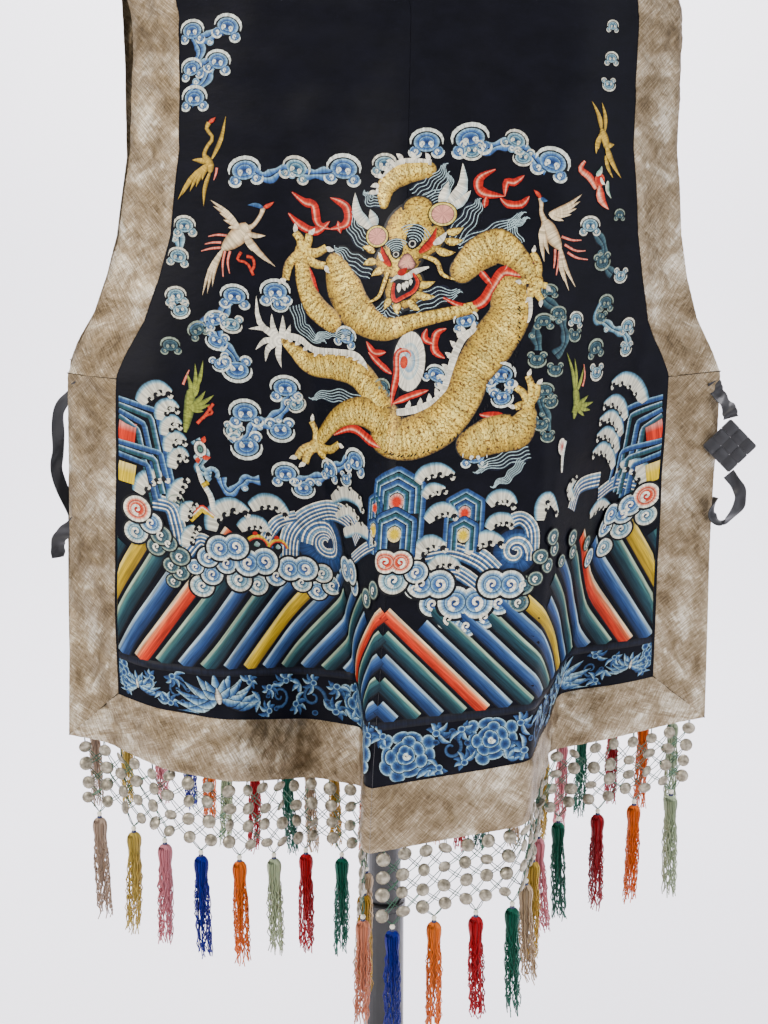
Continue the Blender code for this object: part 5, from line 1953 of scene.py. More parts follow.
@dataclass
class Creatures:
    """The dragon, the birds, the bat and the flames."""

    silk: Needle
    gold: Needle
    view: View

    GOLD = at(
        (-1.0, -0.93, -0.8, -0.1, 0.5, 0.93, 1.0),
        *(DYE.black, DYE.deep_gold, DYE.gold, DYE.pale_gold, DYE.gold, DYE.deep_gold, DYE.black),
    )
    ROUND_END = at(
        (0.0, 0.5, 0.93, 0.97, 1.04), DYE.pale_gold, DYE.gold, DYE.deep_gold, DYE.black, DYE.black
    )
    SPIKE = at(
        (-1.0, -0.80, -0.60, 0.2, 0.80, 1.0),
        *(DYE.black, DYE.deep_gold, DYE.gold, DYE.pale_gold, DYE.gold, DYE.black),
    )
    FLAME = at((-1.0, -0.35, 0.0, 0.3, 0.6, 1.0), DYE.red, DYE.red, DYE.coral, DYE.blush, DYE.red, DYE.red)
    SCALE = evenly(linear("#94752a"), linear("#b09038"))
    # from row to row of scales, and from scale to scale in a row, in metres
    SCALE_ROWS = 0.0056
    SCALE_WIDTH = 0.0066

    def notches(self, path: Route, size: float) -> None:
        """A row of dark hooked marks along an edge of the body; size is their length in pixels."""
        line = smooth_path(self.view.cut(path), 60)
        forward, side = headings(line)
        for k in np.linspace(1, 58, int(steps_of(line).sum() / 0.0062)).astype(int):
            tip = line[k] + (side[k] * 0.8 - forward[k] * 0.7) * size * PX
            self.silk.leaf(line[k], tip, 0.0008, plain(DYE.black), 0.15, 0.0021)

    def limb(self, path: Route, widths: tuple[float, ...], lift: float) -> None:
        """A gold limb or length of body with rows of scales; widths in pixels along the path."""
        line = smooth_path(self.view.cut(path), 60)
        half = np.array(widths) / 2 * PX
        self.gold.band(line, half, self.GOLD, lift, 0.0010, 60)
        forward, side = headings(line)
        for end in (0, -1):
            self.gold.disc(line[end], (half[end], half[end]), self.ROUND_END, lift - 0.0002, 0.0010)
        rows = max(3, int(steps_of(line).sum() / self.SCALE_ROWS))
        wide = np.interp(np.linspace(0, 1, 60), np.linspace(0, 1, len(half)), half)
        for r in range(rows):
            k = int((r + 0.5) / rows * 59)
            cells = max(1, int(wide[k] * 1.8 / self.SCALE_WIDTH))
            size = wide[k] * 1.8 / cells
            for c in range(cells + 1):
                u = (c + (0.5 if r % 2 else 0.0) - cells / 2) * size
                if abs(u) > wide[k] * 0.86:
                    continue
                seat = line[k] + side[k] * u
                reach = side[k] * size * 0.46
                arc = [seat - reach, seat + forward[k] * size * 0.34, seat + reach]
                high = lift + 0.0010 * math.sqrt(max(0.0, 1 - (u / wide[k]) ** 2)) + 0.0002
                self.gold.band(arc, 0.00042, self.SCALE, high, 0.0, 4)

    def fin(self, path: Route, size: float, teeth: int, hand: int) -> None:
        """A white fin with teeth along one edge of the body; size is its width in pixels."""
        lift = 0.0009
        line = smooth_path(self.view.cut(path), 40)
        self.silk.band(line, size / 2 * PX, edged(DYE.cream, DYE.cream, DYE.ivory), lift)
        forward, side = headings(line)
        side = side * hand
        for k in np.linspace(1, 37, teeth).astype(int):
            root = line[k] + side[k] * size * 0.3 * PX
            tip = root + (side[k] * 1.1 - forward[k] * 0.6) * size * PX
            self.silk.leaf(root, tip, size * 0.34 * PX, plain(DYE.cream), 0.1, lift)

    def claw(self, palm: Pair, tips: Route, size: float) -> None:
        """A palm with gold fingers and white nails; size is the palm's width in pixels."""
        centre = self.view.cut(palm)
        for tip in tips:
            end = self.view.cut(tip)
            step = end - centre
            knee = centre + step * 0.55 + np.array([-step[1], step[0]]) * 0.14
            finger = np.array([0.36, 0.30, 0.24]) * size * PX
            self.gold.band([centre, knee, end], finger, self.GOLD, 0.0010, 0.0006, 9)
            nail = end + turned_by(unit_of(step), 25.0) * size * 0.55 * PX
            self.silk.leaf(end, nail, 0.16 * size * PX, plain(DYE.cream), 0.1, 0.0013)
        pad = rings(DYE.pale_gold, DYE.gold, DYE.deep_gold, outline=False)
        self.gold.disc(centre, (size * 0.5 * PX, size * 0.5 * PX), pad, 0.0012)

    def flame(self, path: Route, size: float) -> None:
        """A red flame that tapers to its ends, paler along its middle; size is its width in pixels."""
        widths = size / 2 * PX * np.array([0.15, 0.6, 1.0, 0.9, 1.0, 0.7, 0.08])
        self.silk.band(self.view.cut(path), widths, self.FLAME, 0.0010)

    def hair(self, path: Route, size: float) -> None:
        """A wavy lock: black silk with fine pale lines along it; size is its width in pixels."""
        lines = 5
        line = smooth_path(self.view.cut(path), 30)
        share = np.linspace(0.0, 1.0, 30)
        _, side = headings(line)
        wave = np.sin(share * 19.0) * 0.0016 * (0.4 + share)
        widths = size / 2 * PX * np.array([1.0, 1.0, 0.8, 0.1])
        self.silk.band(line + side * wave[:, None], widths, evenly(DYE.ink, DYE.black), 0.0005)
        for k in range(lines):
            off = (k + 0.5) / lines * 2 - 1
            spread = size / 2 * PX * off * np.interp(share, [0.0, 0.55, 1.0], [1.0, 0.9, 0.12])
            stop = 30 - int(6 * abs(off))
            place = line + side * (spread + wave)[:, None]
            self.silk.band(place[:stop], 0.00042, plain(DYE.mist), 0.0010, 0.0, 24)

    def fan(self, root: Pair, tips: tuple, half: float, dyes: tuple[Colour, Colour], lift: float) -> None:
        """Feathers from one root, a little apart at their tips."""
        light, dark = dyes
        for tip in tips:
            self.silk.leaf(
                self.view.cut(root), self.view.cut(tip), half, evenly(dark, light, light), 0.06, lift
            )

    def bird(self, bird: "Bird") -> None:
        """A flying bird: wings and tail of feathers, a body, a curved neck, thin red streamers and legs."""
        light, dark = bird.dyes
        plumage, red = evenly(dark, light, light, dark), evenly(DYE.red, DYE.coral, DYE.red)
        for root, *tips in bird.tails:
            self.fan(root, tips, 0.0026, bird.dyes, 0.0006)
        streamer = np.array([1.3, 1.1, 0.5]) * PX
        for path in bird.streamers:
            stops = evenly(DYE.coral, DYE.rose, DYE.coral)
            self.silk.band(self.view.cut(path), streamer, stops, 0.0007, 0.0003, 6)
        body = self.view.cut(bird.body)
        stout = bird.stout * PX * np.array([0.45, 0.95, 1.0, 0.75, 0.25])
        self.silk.band(body, stout, plumage, 0.0008, 0.0006, 8)
        for root, *tips in bird.wings:
            self.fan(root, tips, 0.0032, bird.dyes, 0.0011)
        neck = self.view.cut(bird.neck)
        self.silk.band(neck, np.array([2.6, 1.9, 2.0, 3.4]) * PX, plumage, 0.0010, 0.0005, 12)
        for path in bird.legs:
            self.silk.band(self.view.cut(path), np.array([1.6, 1.3, 1.5]) * PX, red, 0.0009, 0.0003, 8)
        if bird.beak is not None:
            self.silk.leaf(neck[0], self.view.cut(bird.beak), 0.0024, red, 0.05, 0.0013)
        if bird.crest is not None:
            self.silk.leaf(
                neck[0], self.view.cut(bird.crest), 0.0026, evenly(DYE.blue, DYE.azure), 0.10, 0.0014
            )


@dataclass(frozen=True)
class Bird:
    """Where the parts of a bird stand in the picture, in pixels; a fan is its root and then its tips."""

    neck: tuple
    body: tuple
    stout: float
    wings: tuple
    tails: tuple
    dyes: tuple[Colour, Colour]
    streamers: tuple = ()
    legs: tuple = ()
    beak: Pair | None = None
    crest: Pair | None = None


WHITE_PLUMAGE = (linear("#ead4a8"), linear("#967246"))
GOLD_PLUMAGE = (linear("#c9a43c"), linear("#5f4a18"))
GREEN_PLUMAGE = (linear("#939b3e"), linear("#46542a"))
BIRDS = (
    Bird(
        neck=((263, 208), (260, 216), (253, 226), (246, 229)),
        body=((248, 226), (236, 238), (222, 250)),
        stout=9.0,
        wings=(
            ((240, 229), (210, 201), (213, 207), (219, 214), (223, 221), (228, 228)),
            ((245, 234), (266, 236), (276, 267), (270, 264), (264, 261), (258, 256), (252, 252)),
        ),
        tails=(((223, 249), (202, 296), (207, 294), (212, 288)),),
        dyes=WHITE_PLUMAGE,
        streamers=(
            ((226, 236), (217, 235), (208, 237)), ((221, 243), (212, 243), (204, 245)),
            ((220, 248), (210, 249), (201, 252)), ((225, 252), (222, 264), (223, 277)),
            ((230, 252), (227, 262), (229, 274)),
        ),
        legs=(
            ((241, 253), (237, 260), (247, 264), (253, 276)),
            ((246, 257), (252, 259), (254, 266), (250, 272)),
        ),
        beak=(275, 202),
        crest=(247, 206),
    ),
    Bird(
        neck=((541, 198), (542, 205), (542, 212), (545, 221)),
        body=((545, 220), (552, 234), (561, 249)),
        stout=7.5,
        wings=(
            ((550, 213), (582, 194), (580, 201), (577, 208), (571, 214), (564, 220)),
            ((544, 225), (541, 244), (545, 262), (549, 254)),
        ),
        tails=(((561, 247), (569, 290), (576, 288), (564, 280)),),
        dyes=WHITE_PLUMAGE,
        streamers=(
            ((562, 236), (572, 240), (582, 240)), ((565, 244), (576, 250), (586, 251)),
            ((568, 252), (577, 257), (588, 259)), ((556, 249), (555, 259), (554, 268)),
            ((560, 251), (559, 263), (557, 275)),
        ),
        beak=(534, 190),
        crest=(548, 201),
    ),
    Bird(
        neck=((209, 123), (206, 130), (212, 138), (206, 148), (204, 157), (209, 165)),
        body=((204, 156), (209, 166), (210, 174)),
        stout=5.0,
        wings=(((208, 164), (192, 161), (178, 200), (182, 196), (190, 192), (196, 188), (202, 181)),),
        tails=(((211, 160), (225, 117)), ((210, 172), (203, 207))),
        dyes=GOLD_PLUMAGE,
        streamers=(((216, 168), (216, 174), (213, 181)),),
        beak=(215, 118),
    ),
    Bird(
        neck=((600, 134), (602, 138), (604, 142), (606, 147)),
        body=((602, 130), (606, 141), (608, 152)),
        stout=4.5,
        wings=(
            ((601, 136), (596, 154), (599, 150)),
            ((607, 146), (614, 145), (621, 179), (617, 172), (613, 166)),
        ),
        tails=(((602, 131), (592, 102), (596, 108)), ((605, 132), (602, 103)), ((606, 156), (613, 178))),
        dyes=GOLD_PLUMAGE,
    ),
    Bird(
        neck=((190, 392), (189, 400), (188, 412), (187, 424)),
        body=((191, 390), (190, 408), (186, 432)),
        stout=5.5,
        wings=(((190, 408), (206, 392), (214, 396), (211, 404), (204, 412)),),
        tails=(((192, 396), (204, 361), (196, 364), (187, 372)), ((193, 398), (200, 380))),
        dyes=GREEN_PLUMAGE,
        streamers=(((184, 384), (187, 377), (190, 369)),),
        legs=(((198, 424), (206, 416), (213, 414), (208, 406)), ((204, 418), (210, 410), (214, 404))),
    ),
    Bird(
        neck=((576, 390), (576, 397), (575, 405), (574, 412)),
        body=((575, 386), (577, 402), (574, 418)),
        stout=5.0,
        wings=(((577, 404), (588, 396), (593, 402), (590, 410), (584, 416)),),
        tails=(((575, 394), (567, 352), (575, 358), (584, 366)),),
        dyes=GREEN_PLUMAGE,
        streamers=(((583, 386), (585, 376), (584, 364)),),
    ),
)

# Clouds' bodies: path and width in picture pixels, palette
CLOUD_BODIES = (
    ([(192, 31), (208, 38), (227, 27)], 8, BLUE_CLOUD),
    ([(192, 31), (200, 50), (191, 69), (204, 66), (217, 61)], 8, BLUE_CLOUD),
    ([(217, 61), (206, 78), (192, 92), (196, 104)], 8, BLUE_CLOUD),
    ([(252, 171), (270, 177), (291, 170), (314, 177), (332, 170)], 9, BLUE_CLOUD),
    ([(470, 142), (490, 150), (512, 142), (530, 158), (548, 170)], 9, BLUE_CLOUD),
    ([(184, 222), (179, 240), (176, 256)], 8, TEAL_CLOUD), ([(173, 290), (177, 303)], 8, TEAL_CLOUD),
    ([(235, 298), (224, 312), (205, 324), (192, 332)], 8, BLUE_CLOUD),
    ([(217, 332), (226, 346), (236, 362)], 8, BLUE_CLOUD),
    ([(246, 412), (266, 424), (282, 410), (292, 398)], 8, BLUE_CLOUD),
    ([(242, 442), (258, 424), (278, 428)], 7, BLUE_CLOUD),
    ([(285, 472), (304, 482), (325, 474), (348, 460)], 8, BLUE_CLOUD),
    ([(592, 222), (601, 240), (606, 262), (612, 275)], 7, DARK_CLOUD),
    ([(545, 285), (548, 300), (562, 318), (566, 335), (556, 355)], 7, DARK_CLOUD),
    ([(542, 318), (536, 335), (536, 350)], 7, DARK_CLOUD),
    ([(604, 303), (598, 320), (618, 330), (630, 345)], 7, TEAL_CLOUD),
    ([(540, 395), (546, 412), (546, 430)], 6, DARK_CLOUD),
    ([(500, 376), (494, 388), (500, 398)], 7, BLUE_CLOUD),
    ([(196, 440), (206, 452), (198, 466), (212, 474)], 7, TEAL_CLOUD),
    ([(222, 478), (230, 492), (242, 486), (248, 478), (260, 480)], 7, BLUE_CLOUD),
)
# Clouds' heads: across, down and width in picture pixels, palette, turn in degrees
CLOUD_HEADS = (
    (192, 31, 24, BLUE_CLOUD, 0), (227, 27, 26, BLUE_CLOUD, 15), (191, 69, 22, BLUE_CLOUD, -10),
    (217, 61, 24, BLUE_CLOUD, 10), (194, 98, 26, BLUE_CLOUD, 0), (244, 171, 30, BLUE_CLOUD, -8),
    (296, 169, 26, TEAL_CLOUD, 20), (343, 169, 32, BLUE_CLOUD, 8), (384, 164, 22, TEAL_CLOUD, 0),
    (427, 143, 30, BLUE_CLOUD, 0), (471, 138, 34, BLUE_CLOUD, -10), (472, 152, 20, TEAL_CLOUD, 180),
    (516, 140, 22, TEAL_CLOUD, 30), (522, 158, 18, TEAL_CLOUD, 190), (553, 163, 32, BLUE_CLOUD, 20),
    (184, 226, 22, TEAL_CLOUD, 0), (178, 257, 20, TEAL_CLOUD, 10), (175, 295, 20, TEAL_CLOUD, -5),
    (180, 310, 18, TEAL_CLOUD, 170), (171, 345, 18, DARK_CLOUD, 0), (235, 296, 26, BLUE_CLOUD, 5),
    (216, 320, 20, BLUE_CLOUD, -15), (196, 330, 18, DARK_CLOUD, -30), (232, 325, 20, TEAL_CLOUD, 190),
    (217, 342, 20, BLUE_CLOUD, 200), (238, 370, 28, BLUE_CLOUD, 180), (222, 364, 18, BLUE_CLOUD, 160),
    (275, 292, 28, BLUE_CLOUD, 0), (279, 306, 16, BLUE_CLOUD, 180), (346, 337, 22, BLUE_CLOUD, 15),
    (286, 388, 28, BLUE_CLOUD, 0), (297, 405, 18, TEAL_CLOUD, 150), (246, 412, 30, BLUE_CLOUD, 0),
    (281, 432, 26, BLUE_CLOUD, 180), (234, 432, 18, TEAL_CLOUD, 200), (247, 447, 30, BLUE_CLOUD, 180),
    (286, 474, 26, BLUE_CLOUD, 0), (304, 490, 22, BLUE_CLOUD, 180), (329, 470, 24, BLUE_CLOUD, 10),
    (355, 461, 28, BLUE_CLOUD, 10), (346, 480, 16, BLUE_CLOUD, 180), (382, 386, 18, DARK_CLOUD, 0),
    (466, 320, 22, BLUE_CLOUD, -10), (436, 374, 20, BLUE_CLOUD, 30), (502, 374, 26, BLUE_CLOUD, 5),
    (503, 398, 20, BLUE_CLOUD, 170), (474, 456, 22, BLUE_CLOUD, 0), (591, 225, 20, TEAL_CLOUD, 0),
    (603, 263, 18, DARK_CLOUD, 170), (620, 215, 12, DARK_CLOUD, 0), (621, 277, 16, TEAL_CLOUD, 180),
    (550, 290, 14, DARK_CLOUD, 0), (543, 320, 16, DARK_CLOUD, 0), (559, 312, 14, DARK_CLOUD, 0),
    (577, 319, 16, TEAL_CLOUD, 10), (575, 335, 14, DARK_CLOUD, 180), (536, 360, 16, DARK_CLOUD, 180),
    (556, 370, 14, DARK_CLOUD, 180), (606, 303, 18, DARK_CLOUD, 0), (601, 318, 14, DARK_CLOUD, 190),
    (628, 326, 18, TEAL_CLOUD, 0), (596, 347, 20, DARK_CLOUD, -10), (626, 350, 16, TEAL_CLOUD, 180),
    (597, 372, 18, TEAL_CLOUD, 180), (545, 390, 16, DARK_CLOUD, 0), (552, 402, 12, DARK_CLOUD, 160),
    (540, 424, 14, DARK_CLOUD, 190), (548, 436, 12, DARK_CLOUD, 180), (613, 26, 12, TEAL_CLOUD, 0),
    (612, 59, 14, TEAL_CLOUD, 0), (609, 85, 14, TEAL_CLOUD, 180), (177, 500, 14, DARK_CLOUD, 0),
)
# Rolling waves: path and width in picture pixels, lines
SWELLS = (
    ([(290, 562), (292, 535), (312, 516), (334, 512), (350, 522), (358, 540)], 22, 6),
    ([(266, 540), (278, 524), (298, 518)], 14, 4), ([(352, 560), (366, 548), (384, 541)], 12, 4),
    ([(188, 552), (200, 540), (214, 546)], 14, 4),
    ([(152, 502), (170, 506), (178, 524), (182, 544)], 16, 4),
    ([(424, 552), (452, 548), (480, 558), (496, 572)], 20, 5),
    ([(438, 572), (458, 572), (482, 588)], 14, 4),
    ([(508, 524), (520, 518), (531, 530), (532, 560)], 14, 4),
    ([(572, 510), (580, 488), (600, 480)], 16, 4), ([(598, 496), (614, 484), (636, 486)], 16, 4),
)
# Crests: path and width in picture pixels, side of the inner edge
CRESTS = (
    ([(211, 530), (215, 514), (232, 505), (249, 512)], 11, 1),
    ([(251, 508), (264, 501), (278, 504), (289, 515)], 10, 1),
    ([(240, 528), (250, 522), (262, 524), (272, 534)], 9, 1),
    ([(332, 500), (344, 494), (357, 500), (362, 512)], 9, -1),
    ([(336, 517), (348, 512), (358, 520)], 8, -1),
    ([(344, 534), (356, 528), (368, 534), (374, 545)], 9, -1),
    ([(137, 492), (142, 481), (153, 474), (166, 475)], 11, 1), ([(170, 500), (176, 488), (184, 478)], 9, 1),
    ([(184, 520), (186, 508), (194, 502)], 8, 1), ([(186, 546), (188, 534), (196, 526)], 9, 1),
    ([(417, 482), (426, 472), (440, 468), (454, 474)], 9, 1), ([(424, 496), (432, 488), (445, 488)], 8, 1),
    ([(426, 520), (436, 510), (448, 508), (457, 514)], 9, 1),
    ([(488, 504), (496, 496), (508, 496), (515, 504)], 9, 1),
    ([(488, 528), (496, 519), (508, 518), (514, 524)], 8, 1),
    ([(468, 554), (476, 541), (490, 536), (504, 541)], 10, 1),
    ([(412, 560), (420, 546), (432, 541), (446, 545)], 10, 1),
    ([(428, 568), (438, 560), (450, 560), (461, 566)], 8, 1),
    ([(139, 402), (147, 391), (160, 386), (172, 392)], 10, 1),
    ([(159, 419), (162, 408), (170, 403), (179, 408)], 9, 1),
    ([(163, 435), (166, 424), (174, 419), (182, 424)], 9, 1),
    ([(167, 451), (170, 440), (178, 435), (186, 440)], 9, 1),
    ([(171, 467), (174, 456), (181, 451), (188, 457)], 9, 1),
    ([(645, 402), (637, 385), (624, 378), (612, 384)], 10, -1),
    ([(626, 419), (622, 406), (614, 400), (604, 405)], 9, -1),
    ([(622, 435), (618, 422), (610, 416), (600, 421)], 9, -1),
    ([(618, 451), (614, 438), (606, 432), (597, 437)], 9, -1),
    ([(614, 467), (610, 454), (602, 448), (593, 454)], 9, -1),
    ([(648, 488), (643, 472), (631, 464), (618, 466)], 11, -1),
    ([(590, 516), (600, 504), (610, 506)], 8, 1), ([(574, 500), (570, 488), (576, 480)], 7, -1),
    ([(540, 520), (542, 504), (550, 498), (558, 512)], 8, 1),
)
# Rounds of foam with one curl: across, down and size in picture pixels, palette
FOAM_ROUNDS = (
    (366, 599, 22, DARK_CLOUD), (317, 591, 22, BLUE_CLOUD), (258, 585, 25, TEAL_CLOUD),
    (203, 585, 25, TEAL_CLOUD), (332, 586, 22, TEAL_CLOUD), (354, 586, 24, BLUE_CLOUD),
    (373, 590, 20, DARK_CLOUD), (302, 583, 22, TEAL_CLOUD), (240, 579, 28, TEAL_CLOUD),
    (277, 575, 25, BLUE_CLOUD), (213, 574, 24, BLUE_CLOUD), (322, 574, 22, TEAL_CLOUD),
    (173, 580, 15, DARK_CLOUD), (181, 572, 18, DARK_CLOUD), (171, 565, 17, DARK_CLOUD),
    (196, 566, 17, BLUE_CLOUD), (227, 563, 24, BLUE_CLOUD), (181, 556, 20, DARK_CLOUD),
    (208, 557, 23, BLUE_CLOUD), (156, 547, 20, DARK_CLOUD), (168, 543, 18, DARK_CLOUD),
    (161, 535, 22, DARK_CLOUD), (467, 625, 24, BLUE_CLOUD), (449, 618, 25, BLUE_CLOUD),
    (484, 616, 26, BLUE_CLOUD), (433, 604, 27, BLUE_CLOUD), (498, 602, 27, BLUE_CLOUD),
    (518, 602, 20, DARK_CLOUD), (523, 585, 21, DARK_CLOUD), (416, 572, 24, BLUE_CLOUD),
    (414, 588, 22, BLUE_CLOUD), (394, 580, 30, TEAL_CLOUD), (536, 578, 15, DARK_CLOUD),
    (548, 566, 16, DARK_CLOUD), (541, 556, 16, DARK_CLOUD), (554, 549, 16, DARK_CLOUD),
    (553, 536, 18, DARK_CLOUD), (561, 560, 14, DARK_CLOUD), (572, 552, 16, DARK_CLOUD),
    (572, 537, 18, DARK_CLOUD), (586, 543, 17, DARK_CLOUD), (588, 558, 22, BLUE_CLOUD),
    (603, 548, 22, TEAL_CLOUD), (603, 527, 24, BLUE_CLOUD), (621, 529, 24, TEAL_CLOUD),
    (630, 505, 26, BLUE_CLOUD), (646, 516, 24, TEAL_CLOUD), (136, 531, 26, TEAL_CLOUD),
    (151, 522, 24, BLUE_CLOUD),
    (137, 509, 30, RED_CLOUD), (646, 496, 30, RED_CLOUD),
)
# Rounds of foam with two curls, the same columns
FOAM_PAIRS = (
    (228, 547, 33, BLUE_CLOUD), (257, 562, 35, BLUE_CLOUD), (298, 569, 32, BLUE_CLOUD),
    (349, 571, 33, BLUE_CLOUD), (430, 584, 34, BLUE_CLOUD), (466, 602, 40, BLUE_CLOUD),
    (502, 584, 34, BLUE_CLOUD), (616, 514, 28, BLUE_CLOUD), (394, 562, 28, RED_CLOUD),
)
# The dragon's locks: path and width in picture pixels
LOCKS = (
    ([(414, 196), (432, 184), (449, 164)], 20), ([(424, 200), (446, 190), (450, 172)], 14),
    ([(452, 240), (470, 216), (481, 198)], 22), ([(458, 248), (492, 232), (527, 212)], 18),
    ([(408, 306), (436, 296), (463, 292)], 22), ([(384, 196), (372, 200), (364, 190)], 16),
    ([(368, 246), (354, 230), (349, 207)], 18), ([(372, 270), (352, 262), (334, 246)], 22),
    ([(398, 316), (384, 308), (372, 322)], 18), ([(296, 306), (304, 330), (326, 344)], 18),
    ([(350, 338), (330, 334), (312, 340)], 10), ([(362, 404), (336, 396), (308, 398)], 16),
    ([(530, 450), (504, 458), (472, 472)], 18), ([(522, 460), (508, 476), (490, 486)], 10),
    ([(520, 244), (512, 226), (530, 218)], 12),
)
# Flames round the dragon: path and width in picture pixels
FLAMES = (
    ([(444, 297), (464, 306), (482, 302), (492, 286), (504, 271), (522, 273), (534, 262)], 11),
    ([(492, 286), (484, 276), (479, 270)], 7), ([(504, 271), (508, 262), (499, 261)], 6),
    ([(334, 435), (352, 428), (370, 440), (384, 448)], 10),
    ([(480, 414), (498, 418), (512, 428), (526, 414)], 12), ([(309, 268), (314, 286), (318, 300)], 7),
    ([(292, 193), (304, 202), (314, 206), (318, 224), (330, 230)], 9),
    ([(288, 214), (300, 226), (316, 232), (330, 222)], 9),
    ([(330, 230), (346, 224), (346, 208), (330, 198)], 9), ([(338, 222), (340, 234)], 6),
    ([(495, 170), (480, 178), (478, 188), (486, 194), (504, 196)], 10), ([(486, 196), (484, 208)], 6),
    ([(504, 196), (506, 182), (514, 182), (524, 176)], 8),
    ([(500, 198), (508, 204), (522, 204), (530, 196)], 8), ([(366, 341), (374, 352), (386, 352)], 7),
    ([(368, 352), (380, 364), (392, 374)], 7), ([(426, 328), (424, 338), (434, 344)], 7),
    ([(447, 328), (436, 334), (434, 350), (444, 358)], 8), ([(392, 403), (408, 396), (428, 390)], 7),
)


